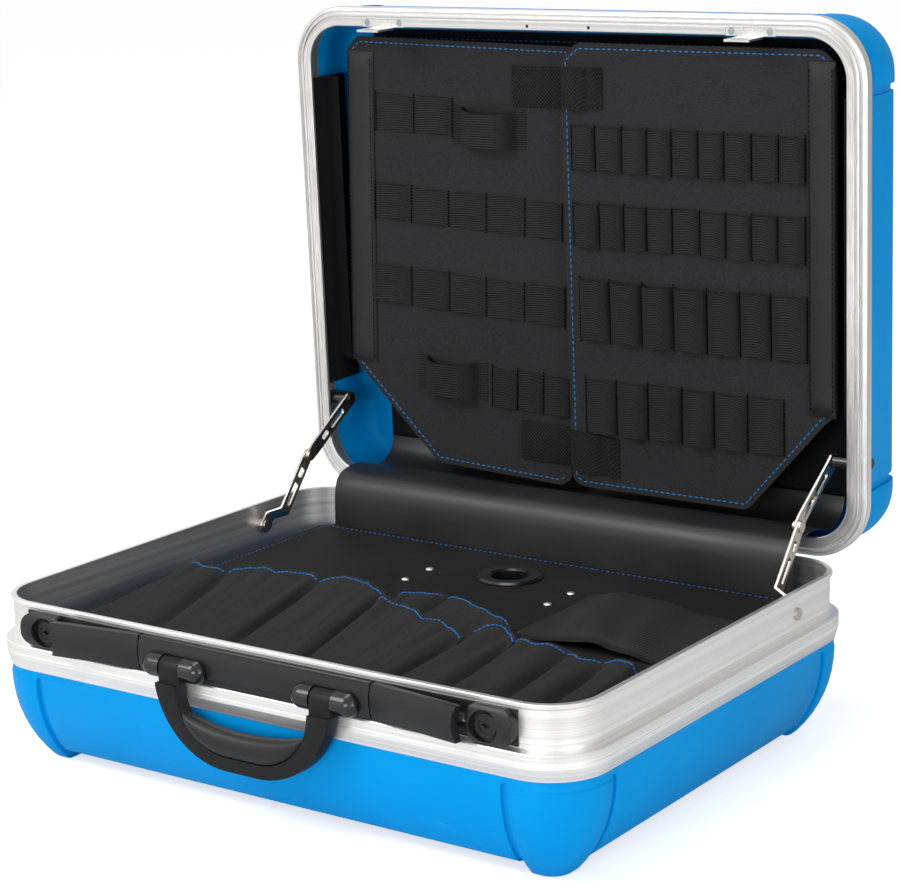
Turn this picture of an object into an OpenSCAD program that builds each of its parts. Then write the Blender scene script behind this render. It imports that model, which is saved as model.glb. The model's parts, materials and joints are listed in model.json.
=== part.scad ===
// Hard tool case: two moulded shells in aluminium frames, joined by a rear hinge.
// A folding handle and two keyed lever latches sit on the front, folding stays hold
// the lid, two tool panels swing out of it, and a pocket pallet lifts out of the base.
// Millimetres. Origin at the centre of the base on the floor, +Z up, front towards -Y.
// Lid pieces are drawn closed and then turned about the hinge to the resting angle.

/* [Case] */
// Width over the base frame's band
case_w = 470; // [440:1:520]
// Depth over the base frame's band
case_d = 370; // [350:1:420]
// Corner radius of the band
corner_r = 41; // [39:1:48]
// Height of the band's lower edge above the floor
band_z = 70; // [66:1:84]
// Angle that the lid rests open at
lid_angle = 88; // [80:1:95]

/* [Base frame] */
// Height of the band
band_h = 17.2; // [15:0.2:20]
// Thickness of the band
band_t = 2.8; // [2.4:0.1:3.4]
// Height of the wall between band and rim
wall_h = 25.2; // [24.8:0.2:30]
// Thickness of the wall
wall_t = 2.4; // [1.8:0.1:3]
// Height of the bead along the rim
bead_h = 3.7; // [2.6:0.1:4.4]
// How far the bead stands out of the wall
bead_out = 1.6; // [1:0.1:2]
// How far the wall runs down inside the shell
leg_drop = 15.2; // [12:0.2:18]

/* [Shells] */
// Wall of both shells
shell_t = 3; // [2.4:0.1:3.4]
// Play of a shell's edge in its frame channel
shell_play = 0.2; // [0.1:0.05:0.3]
// Height of the base panel above the floor
foot_h = 9; // [6:0.5:12]
// Radius of the base's curved-in sides
belly_r = 85; // [80:1:120]
// Radius along the base's lower edge
edge_r = 8; // [6:0.5:12]
// Depth of the lid behind its face
lid_depth = 62; // [58:1:74]
// Radius of the lid's curved-in sides
lid_belly_r = 60; // [50:1:90]
// Radius along the lid's back edge
lid_edge_r = 14; // [10:0.5:16]
// How far a corner column stands proud
column_proud = 0.5; // [0.3:0.1:1]
// Length of a column along each side past the corner's round
column_run = 6; // [4:1:14]
// Width of the groove beside a column
groove_w = 5.5; // [4:0.5:8]
// Depth of that groove
groove_depth = 2; // [1:0.1:2.2]

/* [Lid frame] */
// How far the lid frame stands out past the band
lid_over = 1; // [0.4:0.1:1.4]
// Thickness of its outer lip
lip_t = 2.5; // [2:0.1:2.8]
// Height of its outer lip
lip_h = 10; // [9.4:0.2:11]
// Height of the leg inside the lid shell
lid_leg_h = 17; // [16.2:0.2:19]
// Width of the flat land inside the grooves
land_w = 5.9; // [5.6:0.1:7]
// Thickness of the land
land_t = 2.6; // [2.2:0.1:3]
// Gap between the lid's face and the rim
seal_gap = 0.3; // [0.2:0.05:0.6]

/* [Hinge] */
// How far the hinge axis lies behind the band
hinge_back = 1.64; // [1.5:0.02:2.4]
// How far the axis lies below the rim
hinge_drop = 3.42; // [3.2:0.02:4.4]
// Radius of the pin
hinge_pin_r = 1.5; // [1:0.1:1.7]
// Radius of the knuckles
knuckle_r = 3.2; // [2.9:0.1:3.3]
// Number of knuckles, an odd number
knuckles = 11; // [7:2:15]
// Length of the hinge
hinge_len = 300; // [240:2:320]
// Thickness of the leaves
leaf_t = 1.5; // [1.2:0.1:1.8]
// Running play of every pin in its bore
pin_play = 0.05; // [0.03:0.01:0.08]

/* [Latch bar] */
// Height of the bar
bar_h = 22.6; // [21:0.2:23.4]
// Gap between the band and the bar
bar_gap = 1.7; // [0.8:0.1:2]
// Thickness of the base strip
strip_t = 1; // [0.9:0.1:1.2]
// Height of the bar's crown over the wall
crown = 8; // [7.4:0.1:9]
// Distance of the base strip's end from the side of the case
bar_in = 41; // [39:0.5:44]
// Distance of a lever's pin from the side of the case
lever_in = 142.5; // [137:0.5:144]
// Depth of that pin in front of the wall
lever_out = 4.8; // [4.5:0.1:5]
// Length of a lever
lever_len = 68.5; // [66:0.5:70]
// Angle that the levers rest open at
lever_open = 8; // [6:0.5:10]
// Distance of the lever's steel nose from the side of the case
nose_in = 83; // [81:0.5:85]
// Width of the nose
nose_w = 4.5; // [3.6:0.1:5]
// Height of the nose
nose_h = 4.4; // [3.6:0.1:5]

/* [Locks] */
// Distance of a lock from the side of the case
lock_in = 60.5; // [58:0.5:61]
// Distance of the lock housing's inner end from the side of the case
housing_in = 71.5; // [70.5:0.5:72.5]
// Height of the housing over the wall
housing_out = 9.2; // [8.6:0.1:11]
// Radius of the dished recess
recess_r = 10; // [9:0.1:10.4]
// Radius of the sleeve round the plug
sleeve_r = 7.4; // [6.6:0.1:8]
// Radius of the plug
plug_r = 5; // [4.2:0.1:5.6]

/* [Handle] */
// Distance of a handle joint from the middle
handle_x = 60; // [58:0.5:62]
// Width of the strap at its joint
strap_w = 16.2; // [15:0.2:17]
// Length of a handle lug
lug_len = 16.5; // [14:0.5:18]
// Radius of a lug
lug_r = 8; // [7.8:0.1:8.4]
// Radius of the handle pins
handle_pin_r = 2; // [1.6:0.1:2.4]
// Radius of the handle's outline
handle_r = 57; // [54:0.5:62]
// Thickness of the strap
strap_t = 10.8; // [9:0.2:12]
// Width of the strap at the bottom
strap_low = 9; // [7:0.5:12]
// Depth of the grip
grip_d = 14.5; // [12:0.5:17]
// Height of the grip in the middle
grip_h = 17; // [14:0.5:20]

/* [Lid stays] */
// Base pivot in front of the hinge
stay_front = 82.34; // [78:0.5:88]
// Base pivot below the rim
stay_drop = 16.1; // [15:0.1:18]
// Lid pivot along the lid from the hinge
stay_v = 69; // [66:0.5:72]
// Lid pivot behind the lid's face
stay_in = 8.6; // [8:0.1:10]
// How far an open stay bends past straight
stay_bow = 9.2; // [6:0.2:12]
// Width of a link
link_w = 11; // [9:0.5:12]
// Thickness of a link
link_t = 1.8; // [1.4:0.1:2]
// Distance of the lower links' outer face from the base frame's wall
link_in = 15.8; // [15.6:0.1:16.2]
// Play between the links
link_gap = 0.2; // [0.15:0.05:0.4]
// Radius of the studs at the base
stud_r = 3; // [2.4:0.1:3.4]

/* [Lid inside] */
// Distance of a tool panel's fold from the lid's side wall
fold_in = 17; // [16.8:0.1:19]
// Depth of the left panel's back behind the lid's face
left_panel_dz = 22.2; // [21:0.2:27]
// Depth of the right panel's back behind the lid's face
right_panel_dz = 12.2; // [11.4:0.2:15]
// Thickness of a tool panel
panel_t = 3.2; // [2.4:0.2:4]
// Lower edge of the panels from the hinge
panel_v0 = 27; // [25:1:32]
// Upper edge of the panels from the hinge
panel_v1 = 350; // [330:1:352]
// Where the panels meet
seam_x = -5; // [-8:1:8]
// Thickness of the webbing
web_t = 2.2; // [1.6:0.1:2.6]
// Thickness of the padded back
back_pad_t = 8.7; // [6:0.1:12]

/* [Pallet] */
// Gap between the pallet board and the base frame's side wall
pallet_side = 20.9; // [20.9:0.1:26]
// Front edge of the board behind the wall
pallet_front = 11.4; // [10:0.2:16]
// Rear edge of the board in front of the wall
pallet_rear = 18.4; // [18:0.2:24]
// Thickness of the board
board_t = 3; // [2:0.2:5]
// Top of the board below the rim
pallet_drop = 25.1; // [24:0.1:28]
// Outer radius of the finger grommet
grommet_r = 24; // [20:0.5:28]
// Radius of the finger hole
finger_r = 13; // [11:0.5:15]

/* [Hidden] */
$fn = 64;
left = -1;
right = 1;

band_top = band_z + band_h;
bead_z = band_top + wall_h;
rim_z = bead_z + bead_h;
wall_in = band_t + shell_t + 2 * shell_play;
rim_in = wall_in + wall_t;
wall_y = case_d / 2 - wall_in;
inner_x = case_w / 2 - rim_in;
inner_y = case_d / 2 - rim_in;
hinge_y = case_d / 2 + hinge_back;
hinge_z = rim_z - hinge_drop;
face_z = rim_z + seal_gap;
base_shell_in = band_t + shell_play;
lid_shell_in = lip_t + shell_play - lid_over;
lid_leg_in = lid_shell_in + shell_t + shell_play;
lid_inner_x = case_w / 2 - lid_leg_in - wall_t;
belly_z = band_z - 8;
lid_belly_dz = 38;
bar_z0 = band_top + bar_gap;
bar_z1 = bar_z0 + bar_h;
bar_mid = bar_z0 + bar_h / 2;
lever_y = -wall_y - lever_out;
bar_half = case_w / 2 - bar_in;
lever_x = case_w / 2 - lever_in;
nose_x = case_w / 2 - nose_in;
lock_x = case_w / 2 - lock_in;
housing_x = case_w / 2 - housing_in;
lever_end = lever_x + lever_len;
handle_y = -case_d / 2 - 2.5;
handle_z = band_top + 8.8;
pin_bore = pin_play;

// Outline helpers. A frame's or shell's section is drawn with x = inset from the band.
module along_x(x0, x1) translate([x0, 0, 0]) rotate([90, 0, 90]) linear_extrude(x1 - x0) children();
module along_y(y0, y1) translate([0, y1, 0]) rotate([90, 0, 0]) linear_extrude(y1 - y0) children();
module along_z(z0, z1) translate([0, 0, z0]) linear_extrude(z1 - z0) children();
module rod_x(x0, x1, y, z, r) translate([x0, y, z]) rotate([0, 90, 0]) cylinder(h = x1 - x0, r = r);
module rod_y(y0, y1, x, z, r) translate([x, y1, z]) rotate([90, 0, 0]) cylinder(h = y1 - y0, r = r);
module rod_z(z0, z1, x, y, r) translate([x, y, z0]) cylinder(h = z1 - z0, r = r);
module box(a, b) translate(a) cube(b - a);
module rect(a, b) translate(a) square(b - a);
module on_side(s) mirror([s < 0 ? 1 : 0, 0, 0]) children();
module both_sides() {
    on_side(right) children();
    on_side(left) children();
}
module at_lid() translate([0, hinge_y, hinge_z]) rotate([-lid_angle, 0, 0])
    translate([0, -hinge_y, -hinge_z]) children();
module capsule(a, b, w) {
    run = norm(b - a);
    translate(a) circle(d = w);
    translate(b) circle(d = w);
    translate(a) rotate(atan2(b[1] - a[1], b[0] - a[0])) translate([0, -w / 2]) square([run, w]);
}
module round_rect(a, b, r0, r1) {
    rect([a[0] + r0, a[1]], [b[0] - r1, b[1]]);
    rect([a[0], a[1] + r0], [a[0] + r0, b[1] - r0]);
    rect([b[0] - r1, a[1] + r1], [b[0], b[1] - r1]);
    for (y = [a[1] + r0, b[1] - r0]) translate([a[0] + r0, y]) circle(r0);
    for (y = [a[1] + r1, b[1] - r1]) translate([b[0] - r1, y]) circle(r1);
}
function from_corner(pts) = [for (p = pts) [corner_r - p[0], p[1]]];
module corners(list = [0, 1, 2, 3]) for (q = list)
    translate([(q == 0 || q == 3 ? 1 : -1) * (case_w / 2 - corner_r), (q < 2 ? 1 : -1) * (case_d / 2 - corner_r), 0])
        rotate([0, 0, 90 * q]) children();
// Sweeps a section (inset, z) round the case.
module round_case(pts) {
    for (q = [0:3]) {
        span = q % 2 == 0 ? case_d : case_w;
        reach = q % 2 == 0 ? case_w : case_d;
        rotate([0, 0, 90 * q]) translate([reach / 2 - corner_r, 0, 0]) rotate([90, 0, 0])
            linear_extrude(span - 2 * corner_r, center = true) polygon(from_corner(pts));
    }
    corners() rotate_extrude(angle = 90) polygon(from_corner(pts));
}

// Side of a shell, as insets and heights from its edge down to its floor, offset inwards by t.
// The side drops straight to z_belly, curves in with radius r and rounds to the floor with radius e.
function side_curve(in0, z_top, z_belly, r, z_floor, e, t) =
    let (s = (z_belly - z_floor - e) / (r - e), a1 = asin(s),
         cx = in0 + r * (1 - cos(a1)) + e * cos(a1), cz = z_floor + e)
    concat([[in0 + t, z_top]],
           [for (k = [0:8]) let (a = a1 * k / 8) [in0 + r - (r - t) * cos(a), z_belly - (r - t) * sin(a)]],
           [for (k = [1:5]) let (a = a1 + (90 - a1) * k / 5) [cx - (e - t) * cos(a), cz - (e - t) * sin(a)]]);
function turned(pts) = [for (k = [len(pts) - 1:-1:0]) pts[k]];
// Thickness of the skin between two offsets of the same side.
function side_skin(p, z_top, t0, t1) =
    concat(side_curve(p[0], z_top, p[1], p[2], p[3], p[4], t0),
           turned(side_curve(p[0], z_top, p[1], p[2], p[3], p[4], t1)));
// p = [inset of the edge, height where the curve starts, its radius, floor height, floor edge radius]
base_side = [base_shell_in, belly_z, belly_r, foot_h, edge_r];
base_column = [base_shell_in, belly_z, belly_r, column_proud, edge_r];
lid_side = [lid_shell_in, -lid_belly_dz, lid_belly_r, -lid_depth, lid_edge_r];
lid_column = [lid_shell_in, -lid_belly_dz, lid_belly_r, -lid_depth - 1, lid_edge_r];

module tub(p, z_top) {
    round_case(concat(side_curve(p[0], z_top, p[1], p[2], p[3], p[4], 0),
        [[corner_r, p[3]], [corner_r, p[3] + shell_t]],
        turned(side_curve(p[0], z_top, p[1], p[2], p[3], p[4], shell_t))));
    box([corner_r - case_w / 2, corner_r - case_d / 2, p[3]],
        [case_w / 2 - corner_r, case_d / 2 - corner_r, p[3] + shell_t]);
}
// Proud corner columns that end in feet below the floor.
module columns(p, z_top, floor_z) {
    outer = side_curve(p[0], z_top, p[1], p[2], p[3], p[4], -column_proud);
    inner = [for (c = turned(side_curve(p[0], z_top, p[1], p[2], p[3], p[4], shell_t / 2)))
        if (c[1] > floor_z + shell_t / 2) c];
    section = from_corner(concat(outer, [[corner_r, p[3] - column_proud], [corner_r, floor_z + shell_t / 2]],
        inner));
    corners() {
        rotate_extrude(angle = 90) polygon(section);
        translate([0, -column_run / 2, 0]) rotate([90, 0, 0])
            linear_extrude(column_run, center = true) polygon(section);
        translate([-column_run / 2, 0, 0]) rotate([90, 0, 90])
            linear_extrude(column_run, center = true) polygon(section);
        box([-column_run, -column_run, p[3] - column_proud], [0, 0, floor_z + shell_t / 2]);
    }
}
// Groove beside a column: it follows the curved side and ends in an arch.
arch = [for (k = [0:6]) groove_w / 2 * [cos(30 * k), sin(30 * k)]];
module groove(p, z_top) intersection() {
    translate([corner_r, 0, 0]) mirror([1, 0, 0]) rotate([90, 0, 0])
        linear_extrude(groove_w + 4, center = true) polygon(side_skin(p, z_top + groove_w, -2, groove_depth));
    rotate([90, 0, 90]) linear_extrude(corner_r + 4)
        polygon(concat([[groove_w / 2, p[3] - 4]], [for (a = arch) [a[0], z_top + a[1]]], [[-groove_w / 2, p[3] - 4]]));
}
module grooves(p, z_top) {
    off = column_run + groove_w / 2;
    corners([0, 2]) {
        translate([0, -off, 0]) groove(p, z_top);
        rotate([0, 0, 90]) translate([0, off, 0]) groove(p, z_top);
    }
    corners([1, 3]) {
        translate([0, -off, 0]) groove(p, z_top);
        rotate([0, 0, 90]) translate([0, off, 0]) groove(p, z_top);
    }
}

// ---- Base body ----
groove_top = band_z - 7;
module base_shell() color("dodgerblue") difference() {
    union() {
        tub(base_side, band_top - band_t);
        columns(base_column, groove_top, foot_h);
    }
    grooves(base_side, groove_top);
}

stay_a = [hinge_y - stay_front, rim_z - stay_drop];
line_z = band_z + 10.8;
line_d = 0.35;
band_in = [[2.2, band_z], [0, band_z + 8]];
base_section = [
    band_in[0], band_in[1], [0, line_z - line_d], [line_d, line_z], [0, line_z + line_d],
    [0, band_top - 0.8], [0.8, band_top], [wall_in, band_top + 0.8], [wall_in, bead_z],
    [wall_in - bead_out, bead_z + 1.2], [wall_in - bead_out, rim_z - 0.5],
    [wall_in - bead_out + 0.5, rim_z], [rim_in, rim_z], [rim_in, band_top - leg_drop],
    [wall_in, band_top - leg_drop], [wall_in, band_top - band_t + shell_play],
    [band_t, band_top - band_t + shell_play], [band_t, band_z]
];
screw_r = 1.5;
screw_x = [20, lever_x - 12.5, bar_half - 8];
module base_frame() color("gainsboro") difference() {
    round_case(base_section);
    both_sides() {
        box([nose_x - 4.2, -wall_y - 1, bar_mid - nose_h / 2 - 1],
            [nose_x + 5.2, -inner_y + 1, bar_mid + nose_h / 2 + 1]);
        rod_x(inner_x - 1, inner_x + wall_t + 1, stay_a[0], stay_a[1], stud_r + pin_play);
        for (x = screw_x) rod_y(-wall_y - 1, -inner_y + 1, x, bar_mid, screw_r + pin_play);
    }
}

pitch = hinge_len / knuckles;
knuckle_gap = 0.3;
knuckle_room = knuckle_r + 0.4;
module knuckle_row(first) for (k = [first:2:knuckles - 1])
    translate([-hinge_len / 2 + k * pitch + knuckle_gap / 2, 0, 0]) children();
knuckle_len = pitch - knuckle_gap;
module hinge_base_leaf() color("silver") difference() {
    union() {
        box([-hinge_len / 2, wall_y, band_top + 4], [hinge_len / 2, wall_y + leaf_t, hinge_z - knuckle_r + leaf_t]);
        box([-hinge_len / 2, wall_y, hinge_z - knuckle_r],
            [hinge_len / 2, hinge_y - knuckle_room, hinge_z - knuckle_r + leaf_t]);
        knuckle_row(0) {
            rod_x(0, knuckle_len, hinge_y, hinge_z, knuckle_r);
            box([0, wall_y + leaf_t / 2, hinge_z - knuckle_r], [knuckle_len, hinge_y, hinge_z - knuckle_r + leaf_t]);
        }
    }
    rod_x(-hinge_len, hinge_len, hinge_y, hinge_z, hinge_pin_r + pin_play);
}
module hinge_pin() color("lightgray")
    rod_x(-hinge_len / 2 - 1, hinge_len / 2 + 1, hinge_y, hinge_z, hinge_pin_r);

// A ribbon of thickness t along a path, as one closed outline.
function side_of(path, k, t) =
    let (a = path[max(k - 1, 0)], b = path[min(k + 1, len(path) - 1)], d = (b - a) / norm(b - a))
    path[k] + t * [-d[1], d[0]];
function ribbon(path, t) = concat([for (k = [0:len(path) - 1]) side_of(path, k, t / 2)],
    [for (k = [len(path) - 1:-1:0]) side_of(path, k, -t / 2)]);
cover_half = 197;
cover_t = 1.4;
cover_y = inner_y - pallet_rear + 1.4;
cover_end = hinge_y + face_z - hinge_z + lid_depth - shell_t - back_pad_t - 2.4;
block_top = rim_z - pallet_drop - board_t - 0.2;
cover_path = [
    [cover_y, block_top + 0.3], [cover_y, rim_z - 12], [cover_y + 0.6, rim_z + 4],
    [cover_y + 4, rim_z + 11], [inner_y - 3, rim_z + 16], [hinge_y + 1.4, rim_z + 17.6],
    [hinge_y + 17, rim_z + 15], [hinge_y + 29, rim_z + 11], [cover_end - 10, rim_z + 13.5],
    [cover_end - 1.6, rim_z + 22], [cover_end, rim_z + 30]
];
module hinge_cover() color([0.2, 0.2, 0.2])
    along_x(-cover_half, cover_half) polygon(ribbon(cover_path, cover_t));

// Section of the latch bar: a shallow arc over the wall, starting out_0 in front of it.
bar_lip = 6;
arc_half = bar_h / 2 - 0.5;
arc_r = (pow(arc_half, 2) + pow(crown - bar_lip, 2)) / (2 * (crown - bar_lip));
module bar_section(out_0) {
    intersection() {
        translate([-wall_y - crown + arc_r, bar_mid]) circle(arc_r);
        rect([-wall_y - crown - 1, bar_z0], [-wall_y - out_0, bar_z1]);
    }
    rect([-wall_y - bar_lip, bar_z0], [-wall_y - out_0, bar_z1]);
}
lever_pin_r = 1;
barrel_r = 2.2;
barrel_half = 5;
lug_step = 0.2;
lug_h = 2.6;
lever_gap = 1.1;
loop_r = 7.2;
loop_room = 0.4;
module nose_slot() box([nose_x - 4.2, -wall_y - strip_t - 1, bar_mid - nose_h / 2 - 1],
                       [nose_x + 5.2, -wall_y + 1, bar_mid + nose_h / 2 + 1]);
module latch_plate() color([0.23, 0.23, 0.24]) difference() {
    union() {
        along_x(-bar_half, bar_half) rect([-wall_y - strip_t, bar_z0], [-wall_y, bar_z1]);
        along_x(lever_gap - lever_x, lever_x - lever_gap) bar_section(0);
        both_sides() for (z = [bar_mid - barrel_half - lug_step - lug_h, bar_mid + barrel_half + lug_step])
            rod_z(z, z + lug_h, lever_x, lever_y, barrel_r);
    }
    both_sides() {
        rod_z(bar_mid - barrel_half - lug_step, bar_mid + barrel_half + lug_step, lever_x, lever_y, barrel_r + 0.3);
        rod_z(bar_z0 - 1, bar_z1 + 1, lever_x, lever_y, lever_pin_r + pin_play);
        rod_x(handle_x - strap_w / 2 - 0.6, handle_x + strap_w / 2 + 0.6, handle_y, handle_z, loop_r + loop_room);
        rod_x(handle_x - 22, handle_x + 22, handle_y, handle_z, handle_pin_r + pin_play);
        nose_slot();
        for (x = screw_x) rod_y(-wall_y - strip_t + 0.1, -wall_y + 1, x, bar_mid, screw_r + pin_play);
    }
}
module latch_plate_screws() color("lightgray") both_sides() for (x = screw_x) {
    rod_y(-wall_y - strip_t + 0.2, -inner_y, x, bar_mid, screw_r);
    rod_y(-inner_y, -inner_y + 1.6, x, bar_mid, 3.4);
}
module latch_springs() color("lightgray") both_sides()
    box([lever_x + 18, -wall_y - strip_t - 0.25, bar_mid - 4], [lever_x + 46, -wall_y - strip_t, bar_mid + 4]);
module lever_pins() color("lightgray") both_sides()
    rod_z(bar_mid - barrel_half - lug_step - lug_h, bar_mid + barrel_half + lug_step + lug_h,
          lever_x, lever_y, lever_pin_r);

// ---- Lever latches and locks ----
lever_back = strip_t + 0.3;
module at_lever(s) on_side(s) translate([lever_x, lever_y, 0]) rotate([0, 0, -lever_open])
    translate([-lever_x, -lever_y, 0]) children();
end_arc_r = 24;
module latch_lever(s) color([0.25, 0.25, 0.26]) at_lever(s) difference() {
    union() {
        difference() {
            along_x(lever_x + 0.3, lever_end) bar_section(lever_back);
            rod_y(-wall_y - 2 * crown, -wall_y, lever_end - 2.4 + end_arc_r, bar_mid, end_arc_r);
            for (z = [bar_mid - barrel_half - 2 * lug_step - lug_h, bar_mid + barrel_half])
                rod_z(z, z + lug_h + 2 * lug_step, lever_x, lever_y, barrel_r + 0.3);
        }
        rod_z(bar_mid - barrel_half, bar_mid + barrel_half, lever_x, lever_y, barrel_r);
    }
    rod_z(bar_z0 - 1, bar_z1 + 1, lever_x, lever_y, lever_pin_r + pin_play);
}
module latch_nose(s) color("lightgray") at_lever(s)
    box([nose_x - nose_w / 2, -wall_y - lever_back, bar_mid - nose_h / 2],
        [nose_x + nose_w / 2, tongue_y + 2.2, bar_mid + nose_h / 2]);

cam_h = 1.2;
cam_room = 0.15;
cam_floor = strip_t + 2 * cam_room + cam_h;
recess_floor = cam_floor + 0.8;
cam_len = 8.6;
cavity_r = cam_len + 0.6;
lock_z = bar_mid - 0.6;
housing_lip = 6;
housing_arc = (pow(bar_h / 2, 2) + pow(housing_out - housing_lip, 2)) / (2 * (housing_out - housing_lip));
module lock_housing(s) color([0.2, 0.2, 0.21]) on_side(s) difference() {
    intersection() {
        along_y(-wall_y - housing_out, -wall_y - strip_t)
            round_rect([housing_x, bar_z0], [bar_half, bar_z1], 2.5, 8);
        along_x(housing_x - 1, bar_half + 1) translate([-wall_y - housing_out + housing_arc, bar_mid])
            circle(housing_arc, $fn = 128);
    }
    rod_y(-wall_y - housing_out - 1, -wall_y - recess_floor, lock_x, lock_z, recess_r);
    rod_y(-wall_y - recess_floor - 1, -wall_y - cam_floor + 1, lock_x, lock_z, sleeve_r + pin_play);
    rod_y(-wall_y - cam_floor, -wall_y, lock_x, lock_z, cavity_r);
}
module lock_sleeve(s) color([0.16, 0.16, 0.16]) on_side(s) difference() {
    rod_y(-wall_y - recess_floor - 2, -wall_y - cam_floor, lock_x, lock_z, sleeve_r);
    rod_y(-wall_y - recess_floor - 3, -wall_y, lock_x, lock_z, plug_r + pin_play);
}
module lock_plug(s) color([0.3, 0.3, 0.3]) on_side(s) difference() {
    rod_y(-wall_y - recess_floor - 1.6, -wall_y - strip_t - cam_room - cam_h, lock_x, lock_z, plug_r);
    rod_y(-wall_y - recess_floor - 2, -wall_y - recess_floor, lock_x, lock_z, 1.7);
    box([lock_x - 2.8, -wall_y - recess_floor - 2, lock_z - 0.6], [lock_x + 2.8, -wall_y - recess_floor, lock_z + 0.6]);
}
module lock_cam(s) color("lightgray") on_side(s)
    along_y(-wall_y - strip_t - cam_room - cam_h, -wall_y - strip_t - cam_room) translate([lock_x, lock_z]) {
        circle(3.6);
        rect([-2.4, 0], [2.4, cam_len - 0.5]);
    }

// ---- Handle ----
module handle_lugs() color([0.19, 0.19, 0.19]) difference() {
    both_sides() for (m = [0, 1]) translate([handle_x, 0, 0]) mirror([m, 0, 0]) {
        rod_x(strap_w / 2 + 0.4, strap_w / 2 + 0.4 + lug_len - lug_r, handle_y, handle_z, lug_r);
        translate([strap_w / 2 + 0.4 + lug_len - lug_r, handle_y, handle_z]) sphere(lug_r);
    }
    along_x(-bar_half, bar_half) bar_section(-1);
    both_sides() rod_x(handle_x - 21, handle_x + 21, handle_y, handle_z, handle_pin_r + pin_play);
}
module handle_pins() color("lightgray") both_sides()
    rod_x(handle_x - 20.5, handle_x + 20.5, handle_y, handle_z, handle_pin_r);

strap_back = handle_y + 0.3;
handle_mid = handle_x + strap_w / 2 + 1.4 - handle_r;
inner_r = handle_r - strap_w - 0.8;
inner_z = handle_z - handle_r + strap_low + inner_r;
grip_top = handle_z - handle_r + strap_low + grip_h;
module stadium(half, z, r) {
    for (x = [-half, half]) translate([x, z]) circle(r, $fn = 96);
    rect([-half, z - r], [half, z + r]);
}
module handle_strap() color([0.22, 0.22, 0.22]) difference() {
    union() {
        along_y(strap_back - strap_t, strap_back) difference() {
            stadium(handle_mid, handle_z, handle_r);
            stadium(handle_mid, inner_z, inner_r);
            rect([-handle_r * 2, handle_z - lug_r - 0.5], [handle_r * 2, handle_z + handle_r + 1]);
        }
        both_sides() {
            rod_x(handle_x - strap_w / 2, handle_x + strap_w / 2, handle_y, handle_z, loop_r);
            box([handle_x - strap_w / 2, handle_y - loop_r, handle_z - lug_r - 1],
                [handle_x + strap_w / 2, strap_back, handle_z]);
        }
    }
    both_sides() rod_x(0, 2 * handle_x, handle_y, handle_z, handle_pin_r + pin_play);
}
grip_arc = 187;
grip_play = 0.1;
module handle_grip() color([0.28, 0.28, 0.28]) along_y(strap_back - grip_d, strap_back) difference() {
    stadium(handle_mid, inner_z, inner_r - grip_play);
    translate([0, grip_top + grip_arc]) circle(grip_arc, $fn = 180);
    rect([-handle_r, grip_top + 6], [handle_r, handle_z + handle_r]);
}

// ---- Lid stays ----
function opened(p) = let (d = p - [hinge_y, hinge_z])
    [hinge_y + d[0] * cos(lid_angle) + d[1] * sin(lid_angle),
     hinge_z - d[0] * sin(lid_angle) + d[1] * cos(lid_angle)];
stay_b_closed = [hinge_y - stay_v, face_z + stay_in];
stay_b = opened(stay_b_closed);
span = stay_b - stay_a;
stay_len = norm([norm(span) / 2, stay_bow]);
stay_m = stay_a + span / 2 + stay_bow * [-span[1], span[0]] / norm(span);
low_angle = atan2(stay_m[1] - stay_a[1], stay_m[0] - stay_a[0]);
top_angle = atan2(stay_m[1] - stay_b[1], stay_m[0] - stay_b[0]);
link_end = 12;
link_tip_r = 4.6;
link_rivet_r = 2;
link_x = inner_x - link_in;
washer_r = 4.2;
washer_t = 1;
rivet_head_t = 1;
module link_outline(hole_a, slot_a) difference() {
    union() {
        translate([0, -link_w / 2]) square([stay_len - link_end / 2, link_w]);
        circle(d = link_end);
        polygon([[stay_len - link_end / 2, -link_w / 2], [stay_len, -link_tip_r],
            [stay_len, link_tip_r], [stay_len - link_end / 2, link_w / 2]]);
        translate([stay_len, 0]) circle(link_tip_r);
    }
    circle(hole_a + pin_play);
    translate([stay_len, 0]) circle(link_rivet_r + pin_play);
    capsule([slot_a, 0], [slot_a + 15, 0], 4.6);
    capsule([slot_a + 24, 0], [slot_a + 28, 0], 4.6);
}
foot_x = inner_x - 4.2;
module stay_lower(s) color("silver") on_side(s) translate([0, stay_a[0], stay_a[1]])
    rotate([low_angle, 0, 0]) intersection() {
        along_x(link_x - link_t - 1, inner_x) link_outline(stud_r, 21);
        along_z(-link_end, link_end) polygon([
            [link_x - link_t, 13.4], [link_x - link_t, stay_len + link_end], [link_x, stay_len + link_end],
            [link_x, 14.4], [foot_x, 8.6], [foot_x, -link_end], [foot_x - link_t, -link_end], [foot_x - link_t, 7.6]
        ]);
    }
upper_x = link_x - link_t - link_gap;
module stay_upper(s) color("silver") on_side(s) translate([0, stay_b[0], stay_b[1]])
    rotate([top_angle, 0, 0]) along_x(upper_x - link_t, upper_x) link_outline(2.5, 14);
module stay_washer(s) color("silver") on_side(s) {
    rod_x(link_x, link_x + washer_t, stay_m[0], stay_m[1], washer_r);
    rod_x(link_x - link_t, link_x, stay_m[0], stay_m[1], link_rivet_r);
}
module stay_rivet(s) color("silver") on_side(s) {
    rod_x(upper_x - link_t - rivet_head_t, upper_x - link_t, stay_m[0], stay_m[1], 4);
    rod_x(upper_x - link_t, upper_x, stay_m[0], stay_m[1], link_rivet_r);
}
module stay_base_studs() color("silver") both_sides() {
    rod_x(foot_x - link_t - 0.2, inner_x + wall_t, stay_a[0], stay_a[1], stud_r);
    rod_x(foot_x + 0.2, inner_x, stay_a[0], stay_a[1], stud_r + 2);
    rod_x(foot_x - link_t - 1.6, foot_x - link_t - 0.2, stay_a[0], stay_a[1], stud_r + 1.6);
    rod_x(inner_x + wall_t, inner_x + wall_t + 1.5, stay_a[0], stay_a[1], stud_r + 1.2);
}
post_r = 4.5;
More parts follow.
